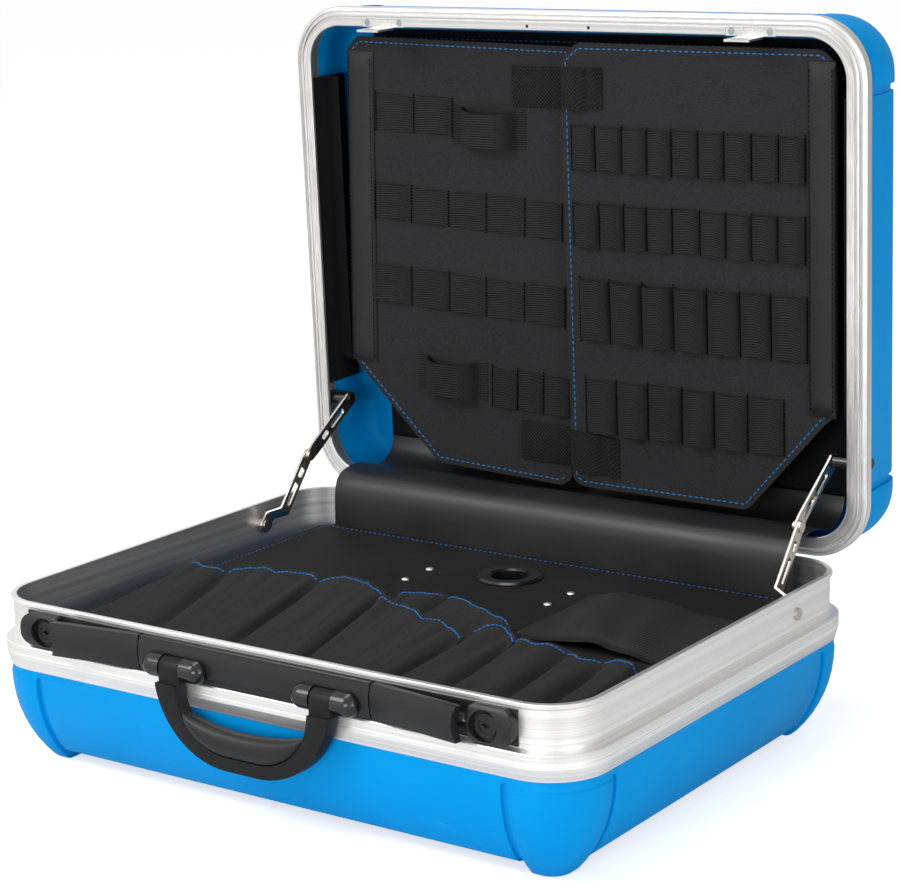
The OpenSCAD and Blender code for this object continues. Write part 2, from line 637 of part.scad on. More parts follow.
rivet_dz = 13.9;
module stay_lid_posts() color([0.2, 0.2, 0.2]) at_lid() both_sides() difference() {
    union() {
        rod_x(upper_x + 0.3, lid_inner_x, stay_b_closed[0], stay_b_closed[1], post_r);
        along_x(upper_x + 4, lid_inner_x) capsule(stay_b_closed, [stay_b_closed[0], face_z + rivet_dz], 2 * post_r);
        rod_x(upper_x - link_t - 0.3, upper_x + 0.3, stay_b_closed[0], stay_b_closed[1], 2.5);
        rod_x(upper_x - link_t - 1.7, upper_x - link_t - 0.2, stay_b_closed[0], stay_b_closed[1], 4);
    }
    rod_x(lid_inner_x - 5, lid_inner_x + 1, stay_b_closed[0], face_z + rivet_dz, screw_r + pin_play);
}
module stay_rivet_hole(extra) both_sides()
    rod_x(lid_inner_x - 4.8, case_w / 2 - lid_shell_in + extra, stay_b_closed[0], face_z + rivet_dz, screw_r + pin_play);
module stay_lid_rivets() color([0.15, 0.15, 0.15]) at_lid() both_sides() {
    rod_x(lid_inner_x - 4.8, case_w / 2 - lid_shell_in, stay_b_closed[0], face_z + rivet_dz, screw_r);
    rod_x(case_w / 2 - lid_shell_in, case_w / 2 - lid_shell_in + 1.5, stay_b_closed[0], face_z + rivet_dz, 3.5);
}

// ---- Pallet ----
board_top = rim_z - pallet_drop;
pallet_half = inner_x - pallet_side;
board_y0 = pallet_front - inner_y;
board_y1 = inner_y - pallet_rear;
grommet_y = board_y1 - 52.3;
pallet_rivets_at = [[60, grommet_y - 43.7], [60, grommet_y - 13.7]];
block_h = 11;
block_x = [pallet_half - 105.5, pallet_half - 65.5];
module pallet_blocks() color([0.15, 0.15, 0.15]) both_sides() {
    box([block_x[0], -inner_y, block_top - block_h], [block_x[1], board_y0 + 15, block_top]);
    box([block_x[0], board_y1 - 8, block_top - block_h], [block_x[1], inner_y, block_top]);
}
module pallet_board() color([0.18, 0.18, 0.18]) difference() {
    along_z(board_top - board_t, board_top)
        round_rect([-pallet_half, board_y0], [pallet_half, board_y1], 12, 12);
    rod_z(board_top - 2 * board_t, board_top + 1, 0, grommet_y, finger_r + 2 + pin_play);
    both_sides() for (p = pallet_rivets_at)
        rod_z(board_top - 2 * board_t, board_top + 1, p[0], p[1], screw_r + pin_play);
}
module pallet_grommet() color([0.1, 0.1, 0.1]) translate([0, grommet_y, 0]) rotate_extrude() polygon([
    [finger_r, board_top - board_t - 1.4], [finger_r + 2, board_top - board_t - 1.4], [finger_r + 2, board_top],
    [grommet_r, board_top], [grommet_r, board_top + 1], [grommet_r - 2, board_top + 2.2],
    [finger_r + 2, board_top + 2.2], [finger_r, board_top + 1]
]);
module pallet_rivets() color("silver") both_sides() for (p = pallet_rivets_at) {
    rod_z(board_top, board_top + 0.9, p[0], p[1], 3);
    rod_z(board_top - board_t, board_top, p[0], p[1], screw_r);
}
pocket_rise = 0.2;
// One bank of pockets: flat at the front, fuller towards its open rear edge.
module pocket_bank(x0, x1, y0, y1, h) along_x(x0, x1) polygon([
    [y0, board_top + pocket_rise], [y0, board_top + h / 2], [y1 - 24, board_top + h],
    [y1, board_top + h * 0.7], [y1, board_top + pocket_rise]
]);
bank_y0 = board_y0 + 4;
module pallet_pockets() color([0.2, 0.2, 0.2]) {
    pocket_bank(2.5 - pallet_half, -48, bank_y0, board_y1 - 144, 15);
    pocket_bank(-44, 60, bank_y0, board_y1 - 168, 14);
    pocket_bank(64, pallet_half - 2.5, bank_y0, board_y1 - 185, 16);
    pocket_bank(-44, 60, board_y1 - 167, board_y1 - 132, 12);
}
module mesh_pocket() color([0.14, 0.14, 0.14])
    pocket_bank(80, pallet_half - 3, board_y1 - 182, board_y1 - 62, 8);

// ---- Lid, drawn closed ----
function lid_v(v) = hinge_y - v;
lid_face_in = [-lid_over, 1.9, 4, 5.8, 7, 7 + land_w];
channel_dz = 4.8;
lid_section = [for (p = [
    [lid_face_in[0], lip_h], [lid_face_in[0], 3], [lid_face_in[0] + 0.7, 2.2], [lid_face_in[1] - 0.4, 1.6],
    [lid_face_in[1], 2], [lid_face_in[1], 3.2], [lid_face_in[2], 3.2], [lid_face_in[2], 0.5],
    [lid_face_in[2] + 0.4, 0.1], [lid_face_in[3] - 0.4, 0.1], [lid_face_in[3], 0.5], [lid_face_in[3], 1.5],
    [lid_face_in[4], 1.5], [lid_face_in[4], 0], [lid_face_in[5] - 0.5, 0], [lid_face_in[5], 0.5],
    [lid_face_in[5], land_t], [lid_leg_in + wall_t, land_t], [lid_leg_in + wall_t, lid_leg_h],
    [lid_leg_in, lid_leg_h], [lid_leg_in, channel_dz], [lip_t - lid_over, channel_dz], [lip_t - lid_over, lip_h]
]) [p[0], face_z + p[1]]];
land_in = lid_face_in[5];
keeper_half = 18.8;
flange_y = lid_face_in[4] + 0.4 - case_d / 2;
flange_t = 1.3;
tongue_y = land_in + 0.3 - case_d / 2;
tongue_t = 1.6;
tongue_len = 20;
tongue_half = 9.5;
keeper_screw_y = land_in - 2.9 - case_d / 2;
land_holes = [-26, 25];
module lid_frame() color("gainsboro") at_lid() difference() {
    round_case(lid_section);
    both_sides() {
        box([nose_x - keeper_half - 0.2, flange_y - 0.2, face_z - 1],
            [nose_x + keeper_half + 0.2, tongue_y, face_z + flange_t + 0.05]);
        for (x = [-14.5, 14.5]) rod_z(face_z, face_z + land_t + 1, nose_x + x, keeper_screw_y, 1.3 + pin_play);
    }
    for (x = land_holes) rod_z(face_z - 1, face_z + land_t + 1, x, keeper_screw_y, 1.2);
    stay_rivet_hole(-shell_t - shell_play);
}
module lid_shell() color("dodgerblue") at_lid() difference() {
    translate([0, 0, face_z]) mirror([0, 0, 1]) {
        difference() {
            union() {
                tub(lid_side, -channel_dz - shell_play);
                columns(lid_column, -16, -lid_depth);
            }
            grooves(lid_side, -16);
        }
    }
    stay_rivet_hole(1);
}
leaf_y = case_d / 2 + lid_over;
module hinge_lid_leaf() color("silver") at_lid() difference() {
    union() {
        box([-hinge_len / 2, leaf_y, hinge_z + knuckle_room], [hinge_len / 2, leaf_y + leaf_t, face_z + lip_h]);
        knuckle_row(1) {
            rod_x(0, knuckle_len, hinge_y, hinge_z, knuckle_r);
            box([0, leaf_y, hinge_z], [knuckle_len, leaf_y + leaf_t, hinge_z + knuckle_room + 1]);
        }
    }
    rod_x(-hinge_len, hinge_len, hinge_y, hinge_z, hinge_pin_r + pin_play);
    for (x = leaf_rivets_x) rod_y(leaf_y - 1, leaf_y + leaf_t + 1, x, leaf_rivet_z, 1.2 + pin_play);
}
leaf_rivets_x = [for (k = [0:5]) -hinge_len / 2 + 20 + k * (hinge_len - 40) / 5];
leaf_rivet_z = face_z + lip_h - 3.6;
module hinge_lid_rivets() color("lightgray") at_lid() for (x = leaf_rivets_x) {
    rod_y(leaf_y, leaf_y + leaf_t, x, leaf_rivet_z, 1.2);
    rod_y(leaf_y + leaf_t, leaf_y + leaf_t + 1, x, leaf_rivet_z, 2.4);
}
slot_z = bar_mid - face_z;
module keeper(s) color("silver") at_lid() on_side(s) translate([0, 0, face_z]) difference() {
    union() {
        box([nose_x - keeper_half, flange_y, 0], [nose_x + keeper_half, tongue_y - 0.2, flange_t]);
        box([nose_x - tongue_half, flange_y, 0], [nose_x + tongue_half, tongue_y + tongue_t, flange_t]);
        box([nose_x - tongue_half, tongue_y, -tongue_len], [nose_x + tongue_half, tongue_y + tongue_t, flange_t]);
    }
    box([nose_x - 4.2, tongue_y - 1, slot_z - nose_h / 2 - 0.8], [nose_x + 6, tongue_y + tongue_t + 1, slot_z + nose_h / 2 + 0.8]);
    for (x = [-14.5, 14.5]) {
        rod_z(-1, flange_t + 1, nose_x + x, keeper_screw_y, 1.3 + pin_play);
        rod_z(-1, 0.8, nose_x + x, keeper_screw_y, 2.5 + pin_play);
    }
}
module keeper_screws() color("silver") at_lid() both_sides() for (x = [-14.5, 14.5]) translate([0, 0, face_z]) {
    rod_z(0, 0.8, nose_x + x, keeper_screw_y, 2.5);
    rod_z(0.8, land_t + 0.8, nose_x + x, keeper_screw_y, 1.3);
}

lining_t = 3;
lining_v = [80, 318];
flap_v = [96, 342];
fold_x = lid_inner_x - fold_in;
function panel_dz(s) = s < 0 ? left_panel_dz : right_panel_dz;
// A lining strip on the lid's side wall with the fabric web that carries a tool panel's fold.
module lid_lining(s) color([0.17, 0.17, 0.17]) at_lid() on_side(s) translate([0, 0, face_z]) {
    web_dz = panel_dz(s) + 0.4;
    box([lid_inner_x - lining_t, lid_v(lining_v[1]), land_t + 0.4], [lid_inner_x - 0.1, lid_v(lining_v[0]), 46]);
    box([fold_x + 0.4, lid_v(lining_v[1]), web_dz], [lid_inner_x - lining_t, lid_v(flap_v[0]), web_dz + 1.2]);
}
// A lining strip on the lid's inner wall opposite the hinge.
lining_top_half = 190;
lid_inner_y0 = lid_leg_in + wall_t - case_d / 2;
module lid_lining_top() color([0.17, 0.17, 0.17]) at_lid() translate([0, 0, face_z])
    box([-lining_top_half, lid_inner_y0 + 0.1, land_t + 2], [lining_top_half, lid_inner_y0 + lining_t, 36]);
module lid_back_pad() color([0.15, 0.15, 0.15]) at_lid()
    along_z(face_z + lid_depth - shell_t - back_pad_t, face_z + lid_depth - shell_t - 0.3)
        round_rect([-200, lid_v(340)], [200, lid_v(30)], 20, 20);

// Tool panels: boards with a cut lower outer corner, folding out of the lid.
board_half_gap = 0.6;
board_x1 = fold_x - 0.3;
function board_cut(s) = s < 0 ? 90 : 74;
board_corner = 9;
module panel_outline(s) {
    x0 = s * seam_x + board_half_gap;
    polygon([
        [x0, lid_v(panel_v0 + 6)], [x0 + 8, lid_v(panel_v0)], [board_x1 - board_cut(s), lid_v(panel_v0)], [board_x1 - 8, lid_v(flap_v[0])],
        [board_x1, lid_v(flap_v[0] + 4)], [board_x1, lid_v(panel_v1 - board_corner)],
        [board_x1 - board_corner, lid_v(panel_v1)],
        [x0 + 12, lid_v(panel_v1)], [x0, lid_v(panel_v1 - 10)]
    ]);
}
module tool_panel(s) color([0.2, 0.2, 0.2]) at_lid() on_side(s)
    along_z(face_z + panel_dz(s) - panel_t, face_z + panel_dz(s)) panel_outline(s);
function front_z(s) = face_z + panel_dz(s) - panel_t;
flap_x0 = fold_x - 20.2;
module panel_flap(s) color([0.24, 0.24, 0.25]) at_lid() on_side(s)
    box([flap_x0, lid_v(flap_v[1]), front_z(s) - 3.2], [fold_x - 1.5, lid_v(flap_v[0] + 6), front_z(s)]);
// A flat row of elastic loops from x0 to x1 and v0 to v1, standing h out of the panel.
module loop_row(s, x0, x1, v0, v1, h)
    box([x0, lid_v(v1), front_z(s) - h], [x1, lid_v(v0), front_z(s)]);
// One wide loop that stands open.
module wide_loop(s, x0, x1, v0, v1, h) translate([0, lid_v(v1), 0]) rotate([90, 0, 0]) mirror([0, 0, 1])
    linear_extrude(v1 - v0) translate([0, front_z(s)]) difference() {
        polygon([[x0, 0], [x0, -web_t], [x0 + 7, -h], [x1 - 7, -h], [x1, -web_t], [x1, 0]]);
        polygon([[x0 + 4, 1], [x0 + 4, -web_t], [x0 + 8, web_t - h], [x1 - 8, web_t - h], [x1 - 4, -web_t], [x1 - 4, 1]]);
    }
strap_v = [[304, 330], [36, 66]];
seam = 0.6;
module panel_loops_left() color([0.16, 0.16, 0.16]) at_lid() {
    loop_row(left, -176, -106, 278, 307, 4);
    wide_loop(left, -103, -43, 270, 302, 15);
    loop_row(left, -181, -12, 209, 236, 4);
    loop_row(left, -185, -9, 144, 174, 4);
    wide_loop(left, -145, -85, 78, 112, 15);
    loop_row(left, -79, -8, 75, 106, 5);
    for (v = strap_v) loop_row(left, -46, seam_x - seam, v[0], v[1], web_t);
}
module panel_loops_right() color([0.16, 0.16, 0.16]) at_lid() {
    loop_row(right, 0, 189, 260, 292, 6);
    loop_row(right, -2, 189, 205, 237, 6);
    loop_row(right, 6, 190, 136, 182, 8);
    loop_row(right, 9, 172, 68, 109, 7);
    for (v = strap_v) loop_row(right, seam_x + seam, 32, v[0], v[1], web_t);
}

base_shell();
base_frame();
hinge_base_leaf();
hinge_pin();
hinge_cover();
latch_plate();
latch_plate_screws();
latch_springs();
lever_pins();
lock_housing(left);  // lock_housing_left
lock_housing(right);  // lock_housing_right
lock_sleeve(left);  // lock_sleeve_left
lock_sleeve(right);  // lock_sleeve_right
lock_plug(left);  // lock_plug_left
lock_plug(right);  // lock_plug_right
lock_cam(left);  // lock_cam_left
lock_cam(right);  // lock_cam_right
latch_lever(left);  // latch_lever_left
latch_lever(right);  // latch_lever_right
latch_nose(left);  // latch_nose_left
latch_nose(right);  // latch_nose_right
handle_lugs();
handle_pins();
handle_strap();
handle_grip();
stay_base_studs();
stay_lower(left);  // stay_lower_left
stay_lower(right);  // stay_lower_right
stay_upper(left);  // stay_upper_left
stay_upper(right);  // stay_upper_right
stay_washer(left);  // stay_washer_left
stay_washer(right);  // stay_washer_right
stay_rivet(left);  // stay_rivet_left
stay_rivet(right);  // stay_rivet_right
stay_lid_posts();
stay_lid_rivets();
pallet_blocks();
pallet_board();
pallet_grommet();
pallet_rivets();
pallet_pockets();
mesh_pocket();
lid_shell();
lid_frame();
hinge_lid_leaf();
hinge_lid_rivets();
keeper(left);  // keeper_left
keeper(right);  // keeper_right
keeper_screws();
lid_lining(left);  // lid_lining_left
lid_lining(right);  // lid_lining_right
lid_lining_top();
lid_back_pad();
tool_panel(left);  // tool_panel_left
tool_panel(right);  // tool_panel_right
panel_flap(left);  // panel_flap_left
panel_flap(right);  // panel_flap_right
panel_loops_left();
panel_loops_right();
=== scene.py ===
# %% [markdown]
# # Hard tool case, standing open
# The rigid parts come from a CAD frame: shells, aluminium frames, hinge, stays, latches
# and locks. This lesson gives them their finishes, and builds what is soft or sewn: the
# tool panels with their elastic loops, the pocket pallet, the leathercloth over the hinge.

# %% Load the frame
import json
import math
import random

import bmesh
import bpy
from mathutils import Matrix, Vector, noise

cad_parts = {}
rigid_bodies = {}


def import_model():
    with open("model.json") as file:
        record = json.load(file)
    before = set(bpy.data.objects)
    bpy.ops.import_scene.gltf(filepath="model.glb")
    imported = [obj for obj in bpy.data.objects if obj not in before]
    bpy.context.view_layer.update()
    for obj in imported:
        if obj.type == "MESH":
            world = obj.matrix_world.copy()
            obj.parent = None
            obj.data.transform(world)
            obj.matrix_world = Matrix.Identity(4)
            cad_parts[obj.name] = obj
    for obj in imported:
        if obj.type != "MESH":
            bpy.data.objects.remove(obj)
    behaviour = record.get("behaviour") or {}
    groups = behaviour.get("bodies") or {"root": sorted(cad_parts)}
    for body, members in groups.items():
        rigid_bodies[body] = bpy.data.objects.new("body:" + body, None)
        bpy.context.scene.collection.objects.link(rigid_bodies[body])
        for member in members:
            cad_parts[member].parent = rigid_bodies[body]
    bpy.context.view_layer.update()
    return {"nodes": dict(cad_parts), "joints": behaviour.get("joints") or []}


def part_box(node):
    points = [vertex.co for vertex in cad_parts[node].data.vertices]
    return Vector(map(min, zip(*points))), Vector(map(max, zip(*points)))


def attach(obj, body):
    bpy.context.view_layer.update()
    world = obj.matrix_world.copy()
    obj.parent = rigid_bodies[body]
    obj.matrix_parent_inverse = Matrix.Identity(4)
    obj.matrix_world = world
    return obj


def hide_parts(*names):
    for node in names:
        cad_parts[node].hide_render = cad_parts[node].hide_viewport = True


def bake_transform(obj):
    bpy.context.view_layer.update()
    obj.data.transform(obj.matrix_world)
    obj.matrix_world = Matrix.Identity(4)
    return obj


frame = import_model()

# %% [markdown]
# The camera stands in front of the right corner of the case, a little above the rim. Its
# place, angles and long lens were fitted to straight edges of the case. It is made first,
# because everything is judged through it.

# %% Camera
def add_object(name, data):
    made = bpy.data.objects.new(name, data)
    bpy.context.scene.collection.objects.link(made)
    return made


camera_place = Vector((0.95185, -1.32384, 0.58995))
yaw, pitch, roll = (math.radians(a) for a in (35.009, 13.074, -1.212))
level = math.cos(pitch)
forward = Vector((-math.sin(yaw) * level, math.cos(yaw) * level, -math.sin(pitch)))
level_right = Vector((math.cos(yaw), math.sin(yaw), 0))
level_up = level_right.cross(forward)
camera_right = math.cos(roll) * level_right + math.sin(roll) * level_up
camera_up = -math.sin(roll) * level_right + math.cos(roll) * level_up
camera = add_object("camera", bpy.data.cameras.new("camera"))
camera.data.lens, camera.data.sensor_width = 100.15, 36  # mm
axes = Matrix((camera_right, camera_up, -forward)).transposed().to_4x4()
camera.matrix_world = Matrix.Translation(camera_place) @ axes
camera.data.clip_start, camera.data.clip_end = 0.05, 60
bpy.context.scene.camera = camera
print("camera at", [round(c, 3) for c in camera_place])

# %% [markdown]
# Two small coordinate systems keep the numbers readable. Base pieces are written in
# millimetres from the middle of the floor. Lid pieces are written as if the lid lay flat:
# x to the right, v up from the hinge, and h out of the lid, with its face at h = 0.

# %% Places
MM = 0.001
OPENING = 88         # degrees between the lid and the base
FACE_IN = 3.72       # mm from the hinge's axis to the lid's face
LID_HALF = 0.18664   # m from the hinge's axis to the lid's middle
BOARD_TOP = 91.0     # the pallet's upper face
LEFT_FRONT, RIGHT_FRONT = -19.0, -9.0   # the tool panels' faces, below the lid's face
hinge = Vector(next(j["pos_m"] for j in frame["joints"] if j["name"] == "lid_hinge"))
lean = math.radians(OPENING)
lid_up = Vector((0, -math.cos(lean), math.sin(lean)))
lid_in = Vector((0, math.sin(lean), math.cos(lean)))
in_base = Matrix.Scale(MM, 4)
in_lid = Matrix.Translation(hinge + FACE_IN * MM * lid_in) @ (
    Matrix((Vector((1, 0, 0)), lid_up, -lid_in)).transposed().to_4x4() @ in_base)
print("hinge at", [round(c, 4) for c in hinge])

# %% [markdown]
# Finishes are built from node groups, so that the same grain or weave can be used at its
# own scale in several materials. A small writer makes a node, sets its values and joins
# its inputs in one line.

# %% Node writer
class Graph:
    def __init__(self, tree):
        self.tree = tree

    def node(self, kind, inputs=None, **settings):
        made = self.tree.nodes.new(kind)
        for key, value in settings.items():
            setattr(made, key, value)
        for key, value in (inputs or {}).items():
            if isinstance(value, bpy.types.NodeSocket):
                self.join(value, made, key)
            else:
                made.inputs[key].default_value = value
        return made

    def join(self, socket, node, label):
        self.tree.links.new(socket, node.inputs[label])

    def math(self, operation, a, b=0.0):
        return self.node("ShaderNodeMath", {0: a, 1: b}, operation=operation).outputs[0]

    def vector(self, operation, a, b):
        return self.node("ShaderNodeVectorMath", {0: a, 1: b}, operation=operation).outputs

    def span(self, value, low, high, out_low=0.0, out_high=1.0):
        ends = {0: value, 1: low, 2: high, 3: out_low, 4: out_high}
        return self.node("ShaderNodeMapRange", ends).outputs[0]

    def mix(self, share, a, b):
        return self.node("ShaderNodeMix", {0: share, 6: a, 7: b}, data_type="RGBA").outputs[2]

    def noise(self, vector, scale, detail=3.0, rough=0.55):
        values = {"Vector": vector, "Scale": scale, "Detail": detail, "Roughness": rough}
        return self.node("ShaderNodeTexNoise", values).outputs[0]


def new_group(name, inputs, outputs):
    tree = bpy.data.node_groups.new(name, "ShaderNodeTree")
    for label, kind, value in inputs:
        socket = tree.interface.new_socket(label, in_out="INPUT", socket_type=kind)
        if value is not None:
            socket.default_value = value
    for label in outputs:
        tree.interface.new_socket(label, in_out="OUTPUT", socket_type="NodeSocketFloat")
    graph = Graph(tree)
    return tree, graph, graph.node("NodeGroupInput"), graph.node("NodeGroupOutput")


VECTOR, NUMBER = "NodeSocketVector", "NodeSocketFloat"
print("node writer ready")

# %% [markdown]
# **Moulded grain.** A satin moulding is never perfectly even. One fine noise stands for
# the spark-eroded grain of the tool, a slow one for the uneven gloss of a large wall, and
# a stretched, thresholded one for the fine scuffs that a carried case collects.

# %% Group: moulded grain
moulded, g, entry, leave = new_group("moulded_grain", [
    ("Vector", VECTOR, None), ("Grain scale", NUMBER, 1800.0), ("Cloud scale", NUMBER, 9.0)],
    ["Height", "Cloud", "Scuff"])
v = entry.outputs["Vector"]
g.join(g.noise(v, entry.outputs["Grain scale"], 2.0), leave, "Height")
g.join(g.noise(v, entry.outputs["Cloud scale"], 4.0), leave, "Cloud")
drawn_out = {"Vector": v, "Rotation": (0.3, 0.2, 0.6), "Scale": (22, 150, 60)}
scratch = g.noise(g.node("ShaderNodeMapping", drawn_out).outputs[0], 1.0, 5.0, 0.7)
g.join(g.span(scratch, 0.66, 0.74), leave, "Scuff")
print("group:", moulded.name)

# %% [markdown]
# **Drawn metal.** Extruded aluminium carries fine lines that run round the whole case.
# The distance from the rectangle that joins the corner centres is the same along each
# line, so noise that reads this distance and the height gives lines that follow the
# frame, round its corners too. Slow noise breaks them up.

# %% Group: drawn metal
CORNER_X, CORNER_Y = 0.194, 0.144   # m from the middle to the corners' centres
LINE_SCALE = 2600.0                 # drawing lines, to a metre
drawn, g, entry, leave = new_group("drawn_metal", [
    ("Across", NUMBER, 0.0), ("Along", NUMBER, 0.0), ("Depth", NUMBER, 0.0),
    ("Vector", VECTOR, None)], ["Height", "Shade"])


def overshoot(graph, value, limit):
    past = graph.math("SUBTRACT", graph.math("ABSOLUTE", value), limit)
    return graph.math("MAXIMUM", past, 0.0)


dx = overshoot(g, entry.outputs["Across"], CORNER_X)
dy = overshoot(g, entry.outputs["Along"], CORNER_Y)
ring = g.math("SQRT", g.math("ADD", g.math("MULTIPLY", dx, dx), g.math("MULTIPLY", dy, dy)))
line_place = g.node("ShaderNodeCombineXYZ", {
    0: g.math("MULTIPLY", ring, LINE_SCALE),
    1: g.math("MULTIPLY", entry.outputs["Depth"], LINE_SCALE)})
slow = g.vector("MULTIPLY", entry.outputs["Vector"], (9.0, 9.0, 9.0))[0]
joined = g.vector("ADD", line_place.outputs[0], slow)[0]
fine = g.noise(joined, 0.55, 3.0, 0.65)
g.join(fine, leave, "Height")
broad = g.noise(joined, 0.06, 2.0)
shade = g.math("ADD", g.math("MULTIPLY", fine, 0.6), g.math("MULTIPLY", broad, 0.4))
g.join(shade, leave, "Shade")
print("group:", drawn.name)

# %% [markdown]
# **Woven cloth.** Two crossed waves make the over and under of a plain weave. One runs
# along x, the other along y + z, so the same group works on cloth that lies flat and on
# cloth that stands up. A fibre noise keeps the threads from looking printed.

# %% Group: woven cloth
woven, g, entry, leave = new_group("woven_cloth", [
    ("Vector", VECTOR, None), ("Threads", NUMBER, 1100.0), ("Rib", NUMBER, 0.5),
    ("Relief", NUMBER, 0.3)], ["Height", "Shade", "Fold"])
parts = g.node("ShaderNodeSeparateXYZ", {0: entry.outputs["Vector"]})
climb = g.math("ADD", parts.outputs[1], parts.outputs[2])
turn = g.math("MULTIPLY", entry.outputs["Threads"], math.tau)
warp = g.math("SINE", g.math("MULTIPLY", parts.outputs[0], turn))
weft = g.math("SINE", g.math("MULTIPLY", climb, turn))
plain = g.math("MULTIPLY", warp, weft)
ribbed = g.math("ADD", g.math("MULTIPLY", weft, entry.outputs["Rib"]), plain)
fibre = g.noise(entry.outputs["Vector"], 900.0, 3.0, 0.7)
lift = g.math("ADD", g.math("MULTIPLY", ribbed, entry.outputs["Relief"]), fibre)
g.join(lift, leave, "Height")
g.join(g.span(lift, 0.1, 1.0), leave, "Shade")
g.join(g.noise(entry.outputs["Vector"], 26.0, 4.0), leave, "Fold")
print("group:", woven.name)

# %% [markdown]
# Each finish is a Principled material that takes its colour spread, roughness and bump
# from one of these groups. Values that are the same all over sit on the shader's own
# sockets, so that they survive an export.

# %% Material makers
def tone(colour, factor=1.0, lift=0.0):
    """A colour, darker or lighter, as a shader's socket takes it."""
    return (*[c * factor + lift for c in colour], 1)


def start_material(name, roughness, metallic=0.0, **sockets):
    made = bpy.data.materials.new(name)
    made.use_nodes = True
    graph = Graph(made.node_tree)
    shader = made.node_tree.nodes["Principled BSDF"]
    shader.inputs["Roughness"].default_value = roughness
    shader.inputs["Metallic"].default_value = metallic
    for label, value in sockets.items():
        shader.inputs[label.replace("_", " ")].default_value = value
    place = graph.node("ShaderNodeTexCoord").outputs["Object"]
    return made, graph, shader, place


def add_bump(graph, shader, height, strength, distance, **under):
    values = {"Height": height, "Strength": strength, "Distance": distance, **under}
    bump = graph.node("ShaderNodeBump", values).outputs[0]
    graph.join(bump, shader, "Normal")
    return bump


def moulded_plastic(name, colour, worn, roughness, grain, depth, specular):
    made, graph, shader, place = start_material(name, roughness, Specular_IOR_Level=specular)
    body = graph.node("ShaderNodeGroup", node_tree=moulded)
    graph.join(place, body, "Vector")
    body.inputs["Grain scale"].default_value = grain
    cloud = graph.span(body.outputs["Cloud"], 0.35, 0.65, 0.0, 0.35)
    shaded = graph.mix(cloud, tone(colour), tone(colour, 0.86))
    scuffed = graph.mix(graph.math("MULTIPLY", body.outputs["Scuff"], 0.35), shaded, tone(worn))
    graph.join(scuffed, shader, "Base Color")
    gloss = graph.span(body.outputs["Cloud"], 0.3, 0.7, roughness - 0.05, roughness + 0.06)
    rough = graph.math("ADD", gloss, graph.math("MULTIPLY", body.outputs["Scuff"], 0.12))
    graph.join(rough, shader, "Roughness")
    add_bump(graph, shader, body.outputs["Height"], 0.5, depth)
    return made


def drawn_aluminium(name, colour, dark, centre, upright):
    roughness = 0.33
    made, graph, shader, place = start_material(name, roughness, 0.84)
    moved = graph.vector("SUBTRACT", place, centre)[0]
    parts = graph.node("ShaderNodeSeparateXYZ", {0: moved})
    along, depth = (2, 1) if upright else (1, 2)
    body = graph.node("ShaderNodeGroup", node_tree=drawn)
    for label, socket in (("Across", parts.outputs[0]), ("Along", parts.outputs[along]),
                          ("Depth", parts.outputs[depth]), ("Vector", place)):
        graph.join(socket, body, label)
    shade = graph.span(body.outputs["Shade"], 0.38, 0.62)
    graph.join(graph.mix(shade, tone(dark), tone(colour)), shader, "Base Color")
    gloss = graph.span(body.outputs["Shade"], 0.35, 0.65, roughness - 0.05, roughness + 0.1)
    graph.join(gloss, shader, "Roughness")
    add_bump(graph, shader, body.outputs["Height"], 0.15, 0.00006)
    return made


def cloth(name, colour, threads, rib=0.5, roughness=0.9, depth=0.0002, fold=0.0007,
          lighter=1.9, specular=0.1, relief=0.3):
    made, graph, shader, place = start_material(name, roughness, Specular_IOR_Level=specular)
    body = graph.node("ShaderNodeGroup", node_tree=woven)
    graph.join(place, body, "Vector")
    body.inputs["Threads"].default_value = threads
    body.inputs["Rib"].default_value = rib
    body.inputs["Relief"].default_value = relief
    thread = graph.mix(body.outputs["Shade"], tone(colour, 0.6), tone(colour, lighter))
    # Painted sheen: the cloth is lightened where the fold noise, which also bumps the folds, is
    # high, as light on the raised folds.
    fold_sheen = graph.span(body.outputs["Fold"], 0.4, 0.75, 0.0, 0.3)
    graph.join(graph.mix(fold_sheen, thread, tone(colour, 1.5, 0.004)), shader, "Base Color")
    weave_bump = add_bump(graph, shader, body.outputs["Height"], 0.6, depth)
    add_bump(graph, shader, body.outputs["Fold"], 0.5, fold, Normal=weave_bump)
    return made


# %% [markdown]
# The palette. The blue shells are satin polypropylene. The frames are bare aluminium, the
# small hardware is plated steel, the latches and handle are black satin plastic. Cloth,
# elastic and leathercloth are near black, each with its own weave and sheen.

# %% Palette
blue_shell = moulded_plastic("blue_shell", (0.0, 0.285, 0.70), (0.06, 0.40, 0.80),
                             0.45, 1500.0, 0.00005, 0.05)
black_satin = moulded_plastic("black_satin", (0.013, 0.013, 0.014), (0.05, 0.05, 0.053),
                              0.36, 2200.0, 0.00008, 0.3)
black_matt = moulded_plastic("black_matt", (0.010, 0.010, 0.0105), (0.04, 0.04, 0.04),
                             0.45, 2200.0, 0.00008, 0.16)
black_gloss = moulded_plastic("black_gloss", (0.008, 0.008, 0.009), (0.03, 0.03, 0.03),
                              0.2, 2200.0, 0.00004, 0.5)
soft_grip_black = moulded_plastic("soft_grip_black", (0.015, 0.015, 0.016), (0.05, 0.05, 0.05),
                                  0.40, 1500.0, 0.0001, 0.25)
base_aluminium = drawn_aluminium("base_aluminium", (0.88, 0.875, 0.865), (0.68, 0.67, 0.655),
                                 (0, 0, 0), False)
# The lid's frame is the same bare aluminium as the base's, with its lines running up the lid.
# Its colours are painted darker as shade, so that its face reads less lit than the base's.
shaded_lid_aluminium = drawn_aluminium("shaded_lid_aluminium", (0.84, 0.835, 0.825), (0.53, 0.52, 0.505),
                                tuple(hinge + lid_up * LID_HALF), True)
panel_cloth = cloth("panel_cloth", (0.0160, 0.0160, 0.0170), 1000.0, 0.2, lighter=2.7)
pocket_cloth = cloth("pocket_cloth", (0.0165, 0.0162, 0.0168), 1250.0, fold=0.0014, lighter=3.0)
